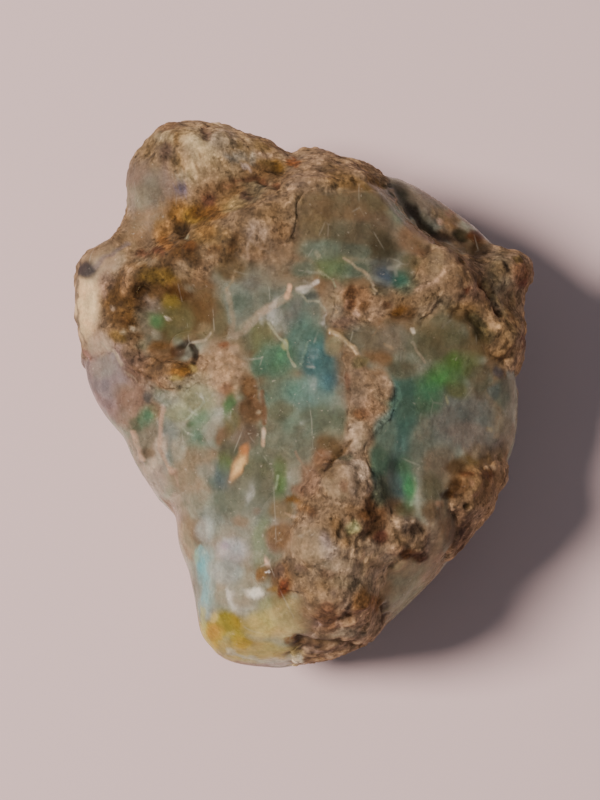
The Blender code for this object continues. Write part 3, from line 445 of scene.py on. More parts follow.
# Small marks with firmer edges, given the same way.  A few are painted glints of the lamp and a few are
# painted shade in hollows, as noted beside them.
MARKS = (
    (165, 128, 16, 4, -10, 126, 92, 66, 0.7), (165, 137, 9, 6, 0, 150, 130, 98, 0.7),
    (165, 151, 4, 11, 10, 88, 66, 50, 0.8), (176, 140, 3, 7, 10, 88, 64, 36, 0.7),
    (178, 162, 5, 8, 0, 98, 76, 44, 0.7), (197, 155, 4, 2.2, 20, 78, 54, 36, 0.9),
    (206, 134, 5, 9, -10, 92, 68, 54, 0.85), (238, 145, 4, 7, 0, 104, 82, 52, 0.7),
    # (252, 157) is a painted glint of the lamp.
    (236, 157, 13, 5, 0, 122, 112, 98, 0.8), (252, 157, 2.5, 7, 0, 170, 152, 126, 0.7),
    (262, 147, 10, 5, 30, 126, 98, 58, 0.7), (277, 167, 5, 4, 0, 84, 58, 20, 0.8),
    (293, 163, 8, 4, 0, 112, 62, 28, 0.85), (183, 176, 8, 3.5, 0, 142, 130, 108, 0.7),
    (182, 189, 6, 5, 0, 116, 102, 118, 0.9), (133, 205, 4, 14, 0, 152, 130, 112, 0.6),
    # (181, 228) is a hollow darkened with painted shade.
    (208, 200, 8, 6, 0, 84, 50, 36, 0.8), (181, 228, 9, 9, 0, 58, 40, 20, 0.95),
    (186, 235, 3, 3.5, 0, 112, 106, 84, 0.8), (190, 246, 8, 5, 20, 84, 52, 26, 0.8),
    (172, 215, 4, 7, 0, 92, 64, 30, 0.7), (165, 243, 8, 5, 30, 134, 88, 46, 0.7),
    (157, 250, 6, 3, 0, 94, 56, 36, 0.7), (233, 242, 4, 12, 15, 88, 62, 38, 0.7),
    (247, 197, 5, 4, 0, 66, 46, 36, 0.8), (212, 250, 9, 4, -30, 98, 66, 36, 0.7),
    (142, 253, 7, 4, 0, 96, 58, 40, 0.7), (146, 262, 12, 4, 0, 118, 100, 76, 0.6),
    (160, 251, 5, 4, 0, 90, 54, 36, 0.7), (140, 291, 8, 9, 0, 60, 40, 20, 0.9),
    (170, 290, 14, 5, 10, 78, 52, 26, 0.8), (186, 296, 8, 4, -20, 76, 48, 24, 0.8),
    (113, 308, 3, 2.5, 0, 170, 142, 112, 0.8), (133, 328, 4, 2, 0, 168, 150, 124, 0.8),
    (123, 331, 3, 3, 0, 158, 140, 112, 0.7), (124, 320, 5, 5, 0, 84, 58, 34, 0.7),
    (118, 337, 9, 5, 30, 112, 88, 44, 0.7), (157, 334, 5, 5, 0, 138, 130, 110, 0.8),
    # (178, 352) darkens the hollow beside the hook with painted shade.
    (141, 345, 5, 6, 0, 124, 114, 90, 0.7), (178, 352, 8, 7, 0, 76, 48, 28, 0.85),
    (189, 354, 5, 4, 0, 112, 102, 88, 0.8), (181, 372, 12, 3.5, -5, 140, 96, 42, 0.9),
    (193, 368, 4.5, 4.5, 0, 178, 148, 86, 0.9), (176, 378, 8, 3, 0, 140, 120, 66, 0.7),
    # (167.5, 317) is a painted glint of the lamp.
    (167.5, 317, 2.2, 2.6, 0, 232, 212, 190, 1.0), (87, 271, 11, 9.5, 20, 60, 50, 50, 0.97),
    (87, 356, 3, 6, 0, 128, 92, 82, 0.8), (107, 386, 5, 6, 0, 124, 108, 110, 0.7),
    (146, 397, 5, 6, 0, 82, 78, 72, 0.85), (136, 424, 8, 7, 0, 88, 90, 70, 0.85),
    (148, 452, 6, 6, 20, 110, 92, 72, 0.8), (183, 505, 4, 4, 0, 124, 116, 94, 0.7),
    (190, 424, 4, 4, 0, 80, 88, 64, 0.7), (223, 345, 6, 4, 0, 150, 98, 66, 0.8),
    (227, 390, 7, 6, 0, 150, 102, 72, 0.7), (233, 350, 5, 5, 0, 190, 158, 126, 0.7),
    # (258, 413) is a painted glint of the lamp.
    (230, 405, 4.5, 12, 15, 84, 106, 68, 0.7), (258, 413, 2.5, 2, 0, 178, 152, 122, 0.8),
    (240, 521, 8, 6, 10, 140, 116, 94, 0.7), (257, 510, 4, 4, 0, 140, 114, 98, 0.6),
    # (285, 345) is a painted glint of the lamp.
    (226, 546, 5, 4, 0, 158, 136, 146, 0.7), (285, 345, 3.2, 5, 0, 188, 180, 130, 0.9),
    (280, 356, 3, 2, 0, 130, 162, 122, 0.7), (310, 296, 9, 4.5, 0, 86, 86, 78, 0.85),
    (318, 256, 3, 4, 0, 142, 136, 114, 0.8), (352, 292, 7, 6, 0, 90, 60, 36, 0.8),
    (352, 304, 5, 6, 0, 88, 56, 34, 0.8), (366, 306, 6, 5, 0, 88, 60, 34, 0.85),
    (388, 305, 5, 4, 0, 84, 56, 36, 0.85), (399, 311, 9, 4, -25, 90, 58, 22, 0.85),
    (346, 303, 2, 5, 0, 162, 122, 94, 0.8), (357, 315, 3, 3, 0, 172, 136, 110, 0.8),
    (336, 312, 1.8, 2, 0, 216, 176, 126, 0.9), (302, 291, 6, 3.5, -10, 190, 178, 164, 0.85),
    # (413, 331) is a painted glint of the lamp.
    (413, 331, 2.2, 2.4, 0, 206, 186, 164, 0.9), (348, 381, 4, 8, 0, 134, 96, 74, 0.7),
    (356, 411, 8, 6, 0, 98, 80, 60, 0.8), (362, 414, 9, 6, 0, 108, 74, 48, 0.85),
    (345, 457, 8, 3.5, -10, 94, 88, 68, 0.8), (322, 457, 10, 8, -30, 132, 98, 74, 0.8),
    (344, 487, 4, 6, 0, 106, 78, 58, 0.8), (352, 487, 4, 8, 0, 132, 112, 94, 0.7),
    (297, 490, 7, 6, 0, 134, 98, 76, 0.75), (292, 500, 7, 4, 0, 122, 82, 32, 0.9),
    (302, 508, 8, 4, 0, 144, 102, 62, 0.7), (313, 512, 5, 5, 0, 98, 66, 40, 0.8),
    (337, 526, 7, 9, 0, 116, 86, 54, 0.7), (353, 527, 6, 7, 0, 118, 106, 72, 0.8),
    (365, 514, 8, 5, 0, 72, 46, 24, 0.8), (381, 538, 8, 7, 0, 72, 38, 28, 0.85),
    (326, 540, 5, 8, -20, 150, 126, 114, 0.7), (345, 543, 6, 5, 0, 146, 114, 80, 0.7),
    (415, 530, 8, 7, 0, 66, 50, 36, 0.9), (406, 554, 9, 6, 0, 74, 42, 18, 0.9),
    (420, 557, 8, 6, 0, 70, 38, 26, 0.85), (395, 548, 7, 6, 0, 146, 114, 84, 0.8),
    (262, 574, 6, 8, 10, 140, 100, 58, 0.85), (283, 588, 5, 9, 15, 104, 52, 28, 0.9),
    (277, 572, 7, 7, 0, 98, 76, 62, 0.8), (272, 590, 5, 3.5, 0, 134, 98, 50, 0.8),
    # (267, 562) is a painted glint of the lamp.
    (267, 562, 2.3, 5, -15, 228, 188, 160, 0.95), (300, 568, 7, 4, 0, 102, 80, 66, 0.8),
    (328, 573, 8, 5, 0, 110, 84, 64, 0.7), (349, 616, 4, 4, 0, 58, 36, 16, 0.9),
    (328, 607, 6, 6, 0, 94, 66, 48, 0.7), (333, 592, 4, 3, 0, 150, 122, 100, 0.7),
    (342, 610, 4, 4, 0, 136, 106, 80, 0.7), (316, 625, 4, 4, 0, 144, 114, 96, 0.7),
    (338, 625, 4, 4, 0, 138, 110, 90, 0.7), (310, 637, 8, 5, 0, 132, 112, 98, 0.8),
    # (385, 612) is painted shade down the tongue's right edge.
    (290, 638, 7, 3, -10, 96, 60, 32, 0.85), (385, 612, 2.6, 10, 8, 54, 36, 24, 0.85),
    # (412, 212), (426, 227) and (441, 236) are painted shade in the crevice along the foot of the wedge.
    (371, 598, 3, 2, -40, 140, 100, 76, 0.7), (412, 212, 13, 6, 42, 56, 44, 36, 0.9),
    (426, 227, 13, 5, 40, 64, 48, 30, 0.9), (441, 236, 13, 5, 15, 62, 46, 36, 0.85),
    # (441, 221) is a painted glint of the lamp.
    (438, 213, 9, 6, 20, 128, 106, 78, 0.8), (441, 221, 3.6, 1.6, 30, 206, 166, 136, 0.95),
    (451, 222, 9, 7, 30, 114, 84, 54, 0.8), (463, 235, 9, 6, 20, 54, 48, 32, 0.9),
    (476, 236, 8, 6, 40, 66, 34, 18, 0.9), (450, 212, 5, 3, 20, 134, 94, 70, 0.7),
    (459, 262, 4, 5, 0, 98, 68, 38, 0.8), (467, 290, 4, 3.5, 0, 80, 42, 26, 0.9),
    (518, 260, 5, 4, 0, 98, 78, 42, 0.8), (522, 284, 5, 5, 0, 92, 52, 42, 0.7),
    (525, 342, 4, 8, 0, 80, 46, 38, 0.8), (478, 321, 12, 6, 36, 60, 52, 32, 0.9),
    (488, 336, 8, 8, 0, 72, 62, 40, 0.8), (508, 318, 4, 6, 0, 150, 114, 80, 0.6),
    (498, 372, 5, 6, 0, 82, 72, 72, 0.8), (495, 391, 6, 8, 0, 82, 86, 80, 0.8),
    (497, 435, 4, 2, -20, 146, 122, 100, 0.7), (491, 429, 3, 2.5, 0, 136, 116, 90, 0.6),
    (447, 400, 1.4, 4, 0, 142, 134, 104, 0.7), (468, 475, 7, 4, 0, 80, 46, 26, 0.8),
    (486, 475, 8, 5, 0, 82, 50, 30, 0.8), (450, 495, 7, 4.5, 0, 66, 40, 18, 0.9),
    # (490, 467) is a painted glint of the lamp.
    (468, 507, 5, 4, 0, 48, 34, 16, 0.9), (490, 467, 5, 3, 10, 144, 116, 88, 0.85),
    (470, 484, 4, 2.5, -40, 134, 98, 72, 0.7), (475, 495, 5, 2.5, -40, 134, 98, 72, 0.7),
    (440, 504, 4, 3, 0, 160, 118, 92, 0.7), (445, 522, 6, 26, -4, 112, 86, 64, 0.85),
    (462, 534, 4, 5, 0, 60, 42, 32, 0.8), (461, 550, 3.5, 4, 0, 48, 32, 24, 0.8),
    # (214, 618) is a painted highlight of the lamp.
    (224, 622, 15, 7, -8, 150, 128, 20, 1.0), (214, 618, 4, 5, 0, 206, 184, 112, 0.8),
    (214, 632, 9, 8, -10, 180, 138, 4, 1.0), (241, 641, 10, 7, 20, 160, 132, 22, 1.0),
    # (255, 592) is a painted highlight of the lamp.
    (230, 634, 5, 3.5, -20, 172, 148, 80, 0.8), (255, 592, 8, 4.6, 8, 255, 240, 222, 1.0),
    # (202, 553) is a painted glint of the lamp.
    (202, 553, 2, 2.4, 0, 226, 234, 208, 0.95), (198, 556, 4, 9, 0, 140, 170, 146, 0.7),
)
# Healed cracks, seams and dark gaps, some of them painted shade in hollows, and a few painted glints:
# route, half width, colour, strength.
LINES = (
    (((227, 289), (230, 303), (233, 322), (231, 338)), 3.4, (156, 140, 118), 0.85),
    (((236, 337), (248, 326), (262, 312), (277, 303), (289, 296)), 4.4, (162, 144, 122), 0.9),
    # A painted glint of the lamp at the crack's upper end.
    (((287, 297), (290, 286)), 3.0, (228, 182, 146), 0.95),
    (((240, 327), (250, 319), (262, 315)), 1.6, (156, 146, 124), 0.7),
    (((268, 324), (277, 334), (285, 344), (289, 357), (295, 367)), 1.5, (164, 162, 134), 0.8),
    (((307, 344), (305, 352), (300, 364)), 2.0, (116, 136, 120), 0.6),
    (((282, 311), (281, 322), (286, 332)), 2.0, (132, 132, 120), 0.6),
    (((298, 289), (309, 287), (318, 282)), 2.8, (196, 180, 166), 0.95),
    (((303, 280), (312, 286)), 1.5, (160, 146, 128), 0.8),
    (((299, 293), (307, 301), (319, 302), (325, 311)), 1.5, (152, 144, 122), 0.7),
    (((318, 271), (327, 275), (333, 280), (336, 286)), 1.5, (156, 150, 120), 0.85),
    (((344, 258), (353, 264), (361, 270), (368, 276), (373, 283), (376, 293)), 1.8, (162, 142, 116), 0.9),
    (((272, 273), (281, 274), (283, 268)), 1.3, (156, 138, 110), 0.6),
    (((330, 331), (339, 335), (347, 342), (355, 348)), 2.6, (180, 152, 116), 0.95),
    (((354, 347), (357, 353)), 2.6, (214, 182, 144), 0.9),
    (((384, 343), (393, 349)), 1.6, (148, 128, 102), 0.75),
    (((412, 342), (418, 352), (425, 362)), 1.8, (146, 128, 106), 0.75),
    (((373, 335), (380, 327), (388, 318)), 1.2, (132, 112, 88), 0.5),
    (((416, 290), (428, 285), (438, 280), (443, 272)), 2.6, (166, 132, 102), 0.85),
    (((391, 190), (397, 204), (407, 218), (421, 230), (433, 240)), 1.6, (138, 110, 84), 0.7),
    (((320, 190), (345, 191), (378, 192)), 0.9, (146, 120, 90), 0.45),
    # The dark crevice in the shoulder: painted shade.
    (((481, 280), (488, 291), (494, 302), (501, 314)), 2.2, (70, 42, 24), 0.9),
    (((486, 283), (494, 295), (503, 307), (508, 322)), 1.8, (138, 112, 76), 0.7),
    (((222, 187), (240, 178), (256, 176), (268, 182), (277, 184)), 3.6, (72, 44, 28), 0.85),
    # A painted glint of the lamp.
    (((242, 166), (250, 168)), 1.6, (194, 166, 148), 0.85),
    (((196, 157), (198, 170)), 0.9, (112, 84, 60), 0.7),
    (((248, 258), (248, 240), (252, 226)), 2.0, (162, 134, 108), 0.75),
    (((249, 238), (258, 246), (268, 252)), 2.0, (164, 136, 110), 0.7),
    (((226, 289), (232, 282), (234, 270)), 1.6, (164, 138, 106), 0.6),
    (((128, 247), (138, 233), (150, 218), (165, 206)), 6.0, (146, 116, 86), 0.92),
    (((96, 267), (104, 258), (116, 251), (128, 244)), 3.0, (126, 106, 98), 0.9),
    (((79, 279), (77.5, 300), (80, 328), (86, 344)), 1.7, (112, 94, 78), 0.85),
    (((86, 362), (90, 384), (100, 400), (112, 406)), 4.0, (128, 108, 106), 0.8),
    # The dark hook round the hollow below the eye: painted shade.
    (((180, 347), (188, 343), (196, 350), (195, 362)), 4.2, (46, 32, 20), 0.9),
    (((192, 342), (204, 341), (211, 333)), 1.8, (174, 150, 124), 0.85),
    (((104, 345), (114, 352), (122, 364)), 2.0, (182, 156, 130), 0.7),
    (((132, 366), (142, 374), (150, 386)), 1.8, (94, 70, 48), 0.7),
    (((126, 372), (137, 381)), 1.3, (168, 142, 120), 0.5),
    (((134, 432), (138, 445), (142, 458)), 3.4, (194, 160, 134), 0.95),
    (((163, 408), (161, 428), (160, 448), (166, 462), (173, 472)), 3.0, (186, 152, 128), 0.85),
    (((118, 424), (134, 452), (149, 476), (162, 491)), 2.6, (166, 144, 126), 0.7),
    (((186, 419), (195, 411), (205, 402)), 1.5, (176, 176, 146), 0.8),
    (((178, 424), (186, 432), (194, 436)), 1.3, (160, 162, 138), 0.7),
    (((175, 470), (178, 486)), 2.0, (178, 148, 126), 0.6),
    (((262, 393), (265, 408), (264, 424)), 3.0, (126, 88, 64), 0.7),
    (((264, 430), (263, 445)), 2.2, (206, 166, 134), 0.9),
    # A painted glint of the lamp.
    (((278, 476), (276, 489)), 1.6, (170, 174, 144), 0.9),
    (((296, 452), (302, 463), (307, 472)), 1.6, (156, 130, 108), 0.75),
    (((280, 447), (290, 455)), 1.3, (146, 140, 116), 0.6),
    (((414, 478), (415, 490), (411, 506)), 1.6, (148, 150, 124), 0.85),
    (((421, 414), (420, 422)), 1.2, (116, 122, 104), 0.6),
    # The dark line across the tongue, with its end below: painted shade in a furrow.
    (((352, 440), (345, 449), (335, 457), (327, 470)), 3.2, (76, 56, 34), 0.9),
    (((325, 470), (330, 462)), 2.4, (56, 38, 26), 0.8),
    (((388, 515), (398, 523)), 1.4, (150, 122, 90), 0.6),
    (((285, 513), (297, 517)), 1.6, (178, 148, 118), 0.6),
    (((298, 640), (320, 644), (340, 641), (360, 646), (378, 641)), 3.0, (72, 54, 36), 0.85),
    (((300, 650), (330, 652)), 3.0, (112, 92, 76), 0.7),
    (((200, 549), (203, 566), (206, 586), (206, 600)), 4.0, (138, 172, 170), 0.9),
    (((212, 562), (212, 588)), 2.0, (160, 164, 152), 0.6),
    (((203, 612), (205, 638), (216, 654), (230, 661)), 3.2, (184, 170, 104), 0.7),
    (((228, 650), (246, 658), (272, 662), (300, 659)), 3.0, (166, 156, 132), 0.7),
)
# Spectral light from the opal's packed silica spheres, given in the same way, and one painted highlight at
# the core of the orange flash.
FLASHES = (
    (440, 378, 14, 8, -28, 76, 124, 68, 0.8), (455, 363, 7, 9, -20, 78, 112, 52, 0.6),
    (428, 392, 10, 8, 0, 60, 100, 70, 0.6), (408, 488, 6, 14, -6, 78, 130, 84, 0.9),
    (402, 466, 9, 8, 0, 72, 96, 58, 0.6), (157, 321, 8, 6, 20, 80, 122, 76, 0.8),
    (147, 416, 7, 9, 10, 78, 122, 92, 0.85), (199, 419, 7, 11, 30, 94, 130, 92, 0.6),
    (197, 437, 6, 7, 0, 88, 122, 100, 0.55), (229, 406, 4, 10, 15, 76, 114, 68, 0.6),
    (280, 358, 8, 13, 24, 72, 120, 84, 0.55), (296, 390, 12, 10, 0, 92, 128, 106, 0.4),
    (328, 383, 9, 9, 0, 64, 104, 116, 0.55), (318, 360, 9, 11, 0, 70, 108, 108, 0.45),
    (386, 277, 10, 7, 10, 54, 70, 88, 0.85), (401, 279, 7, 7, 0, 58, 100, 84, 0.85),
    (328, 268, 11, 8, 12, 96, 116, 82, 0.6), (343, 274, 9, 7, 0, 86, 106, 80, 0.5),
    (203, 566, 4, 12, 4, 112, 172, 176, 0.8), (280, 486, 5, 11, 0, 96, 122, 70, 0.6),
    (226, 466, 6, 10, 0, 86, 106, 58, 0.7), (239, 464, 4.5, 14, 22, 214, 140, 78, 0.98),
    # (238, 467), the flash's near-white core, is a painted highlight of the lamp on the opal's own orange.
    (238, 467, 3.4, 10, 22, 255, 208, 142, 1.0), (244, 450, 4, 5, 18, 196, 120, 70, 0.8),
    (264, 434, 2, 4, 0, 240, 212, 184, 0.9), (353, 526, 5, 6, 0, 110, 112, 70, 0.5),
    (222, 478, 8, 9, 0, 88, 98, 104, 0.6),
)
# Where the surface is crusty with grains though it is opal below: place, half sizes, turn, strength.
CRUSTY = (
    (225, 235, 90, 40, -10, 0.75), (222, 371, 24, 30, 0, 0.7), (150, 372, 50, 26, 40, 0.7),
    (350, 300, 34, 16, 0, 0.8), (358, 385, 20, 28, 0, 0.7), (420, 300, 20, 16, 0, 0.5),
    (140, 405, 24, 18, 0, 0.5), (250, 400, 14, 30, -10, 0.4), (270, 262, 34, 12, 0, 0.6),
    (434, 530, 10, 30, 0, 0.4), (400, 240, 30, 20, 20, 0.2), (500, 460, 24, 20, 0, 0.5),
    (440, 225, 36, 12, 34, 0.6), (150, 460, 16, 40, 20, 0.3),
)
# Where the rock is smooth, like fired clay.
SMOOTH = (
    (88, 300, 13, 46, 0, 1.0), (104, 262, 22, 12, -26, 0.9), (100, 346, 14, 14, 0, 0.9),
    (146, 222, 14, 30, 36, 0.95), (152, 188, 28, 24, 0, 0.8), (104, 380, 22, 30, 0, 1.0),
    (195, 155, 16, 20, 0, 0.4), (340, 481, 14, 17, 0, 0.5), (308, 545, 22, 16, 0, 0.5),
    (338, 566, 20, 8, 10, 0.45), (359, 436, 10, 12, 0, 0.45), (478, 480, 22, 18, -30, 0.35),
    (330, 640, 28, 8, 0, 0.4), (445, 268, 20, 20, 0, 0.3), (360, 375, 18, 26, 0, 0.3),
)
# Where the opal has lost its polish: place, half sizes, turn.
DULL = (
    (242, 462, 16, 30, 12), (318, 408, 22, 15, 0), (397, 266, 11, 10, 0), (444, 522, 12, 30, 0),
    (247, 598, 12, 9, 0), (172, 322, 28, 18, 0), (214, 320, 12, 16, 0), (190, 348, 18, 14, 0),
    (358, 202, 8, 20, 0), (363, 238, 8, 10, 0), (220, 432, 14, 16, 0), (276, 508, 10, 12, 0),
)
# Hollows and swellings finer than the skin: place, half sizes, turn, height in millimetres.
SHAPES = (
    (181, 229, 9, 6, 60, -0.16), (197, 155, 4, 3, 0, -0.12), (340, 481, 15, 18, 0, 0.16),
    (310, 546, 22, 17, 0, 0.16), (336, 566, 18, 8, 10, 0.12), (359, 436, 11, 12, 0, 0.12),
    (277, 540, 9, 11, 0, 0.12), (262, 574, 6, 8, 0, 0.12), (283, 588, 5, 8, 0, 0.06),
    (395, 548, 8, 6, 0, 0.1), (406, 522, 10, 8, 0, 0.08), (412, 530, 7, 6, 0, -0.05),
    (378, 530, 10, 14, 0, -0.06), (349, 616, 5, 4, 0, -0.08), (365, 600, 12, 10, 0, 0.08),
    (385, 612, 3, 9, 0, -0.12), (468, 507, 5, 4, 0, -0.08), (450, 495, 7, 4, 0, -0.1),
    (474, 482, 14, 10, -30, 0.1), (195, 155, 18, 20, 0, 0.1), (221, 140, 12, 9, 0, 0.08),
    (206, 134, 5, 8, 0, -0.12), (450, 262, 16, 18, 0, 0.12), (352, 298, 6, 9, 0, -0.1),
    (388, 305, 5, 4, 0, -0.06), (222, 371, 20, 26, 0, 0.06), (250, 390, 8, 14, -20, -0.05),
    (140, 291, 8, 8, 0, -0.14), (426, 227, 12, 5, 40, -0.12), (463, 236, 9, 5, 20, -0.14),
    (478, 321, 12, 6, 36, -0.12), (520, 276, 8, 10, 0, 0.08), (162, 352, 14, 8, 0, 0.08),
    (122, 304, 10, 18, 0, 0.06),
)
# Furrows and ridges: route, half width, height in millimetres.
FURROWS = (
    (((481, 280), (488, 291), (494, 302), (501, 314)), 3.0, -0.26),
    (((352, 440), (345, 449), (335, 457), (327, 470)), 3.6, -0.1),
    (((222, 187), (240, 178), (256, 176), (268, 182), (277, 184)), 4.5, -0.2),
    (((298, 640), (320, 644), (340, 641), (360, 646), (378, 641)), 3.5, -0.14),
    (((330, 331), (339, 335), (347, 342), (356, 351)), 3.0, 0.06),
    (((134, 432), (138, 445), (142, 458)), 4.0, 0.07),
    (((163, 408), (161, 428), (160, 448), (166, 462), (173, 472)), 3.5, 0.05),
    (((391, 190), (397, 204), (407, 218), (421, 230), (433, 240)), 2.5, 0.04),
    (((183, 345), (191, 344), (197, 352), (196, 362)), 3.0, -0.05),
    (((96, 267), (104, 258), (116, 251), (128, 244)), 3.0, -0.04),
)
# How far noise shifts the edges of the broad colours, the fine shapes and the marks, in frame units.
WIDE_WARP = 3.6
FINE_WARP = 1.6
MARK_WARP = 1.7
# The layout's colours are as they look lit, so each is taken back towards the bare surface by how squarely
# it faces the lamp, within a range; shade that one part casts on another and the painted glints stay in as
# painted shade and painted light.
LAYOUT_GAIN = np.array((0.66, 0.71, 0.75))
LAYOUT_SATURATION = 1.02
SHADE_FLOOR = 0.20
SHADE_RANGE = (0.42, 1.25)
# Sizes and heights of the grains, in millimetres.
CHIP, CHIP_RISE = 0.75, 0.11
CRUMB, CRUMB_RISE = 0.30, 0.06
PIT, PIT_DEPTH = 0.8, 0.12
FLUSH_CALM = 0.8
GRAIN_CONTRAST = 0.56
WARMTH = (0.10, -0.02, -0.30)


def speckle(points, size, seed):
    """Smooth noise, about -1 to 1."""
    shift = np.array((seed * 7.31, seed * 3.17, seed * 5.53))
    return np.array([noise.noise(p) for p in points / size + shift])


def grains(points, size, seed):
    """Distance to the nearest cell centre, in cell sizes, and a random number for that cell."""
    shift = np.array((seed * 4.7, seed * 2.9, seed * 6.1))
    near, centre = [], []
    for p in points / size + shift:
        distances, centres = noise.voronoi(p)
        near.append(distances[0])
        centre.append(centres[0])
    mixed = np.sin(np.array(centre) @ np.array((12.9898, 78.233, 37.719)) + seed) * 43758.5453
    return np.array(near), mixed - np.floor(mixed)


def linear(colour):
    """A colour given in 0 to 255 display values, as linear light."""
    value = np.array(colour) / 255.0
    return np.where(value <= 0.04045, value / 12.92, ((value + 0.055) / 1.055) ** 2.4)


def off_route(at, route):
    """Distance to a route of straight runs."""
    x, y = at
    nearest = np.full(x.shape, 1e9)
    for (ax, ay), (bx, by) in zip(route, route[1:]):
        run = np.array((bx - ax, by - ay))
        along = np.clip(((x - ax) * run[0] + (y - ay) * run[1]) / run.dot(run), 0.0, 1.0)
        nearest = np.minimum(nearest, np.hypot(x - ax - along * run[0], y - ay - along * run[1]))
    return nearest


def lay(colours, colour, share):
    """Lay a colour over what is there, as strongly as its share says."""
    return colours + share[:, None] * (linear(colour) - colours)


def lay_spots(colours, at, table, soft, shown):
    for inside, *colour, strength in spots(at, table, soft):
        colours = lay(colours, colour, strength * shown * inside)
    return colours


def facing(points, normals):
    """1 where the surface faces the camera squarely, 0 at its edge and less behind it."""
    ways = np.array(camera.location) - points * MM
    ways /= np.linalg.norm(ways, axis=1)[:, None]
    return np.einsum("ij,ij->i", ways, normals)


def unlit(colours, normals):
    """The bare colours of surfaces that look like these under the lamp."""
    lamp_way = np.array(LAMP_BEARING.normalized())
    lit = np.maximum(normals @ lamp_way, 0.0) / lamp_way[2]
    shade = np.clip(SHADE_FLOOR + (1.0 - SHADE_FLOOR) * lit, *SHADE_RANGE)
    grey = colours @ np.array((0.30, 0.59, 0.11))
    vivid = grey[:, None] + LAYOUT_SATURATION * (colours - grey[:, None])
    return np.maximum(vivid, 0.12 * grey[:, None]) * LAYOUT_GAIN / shade[:, None]


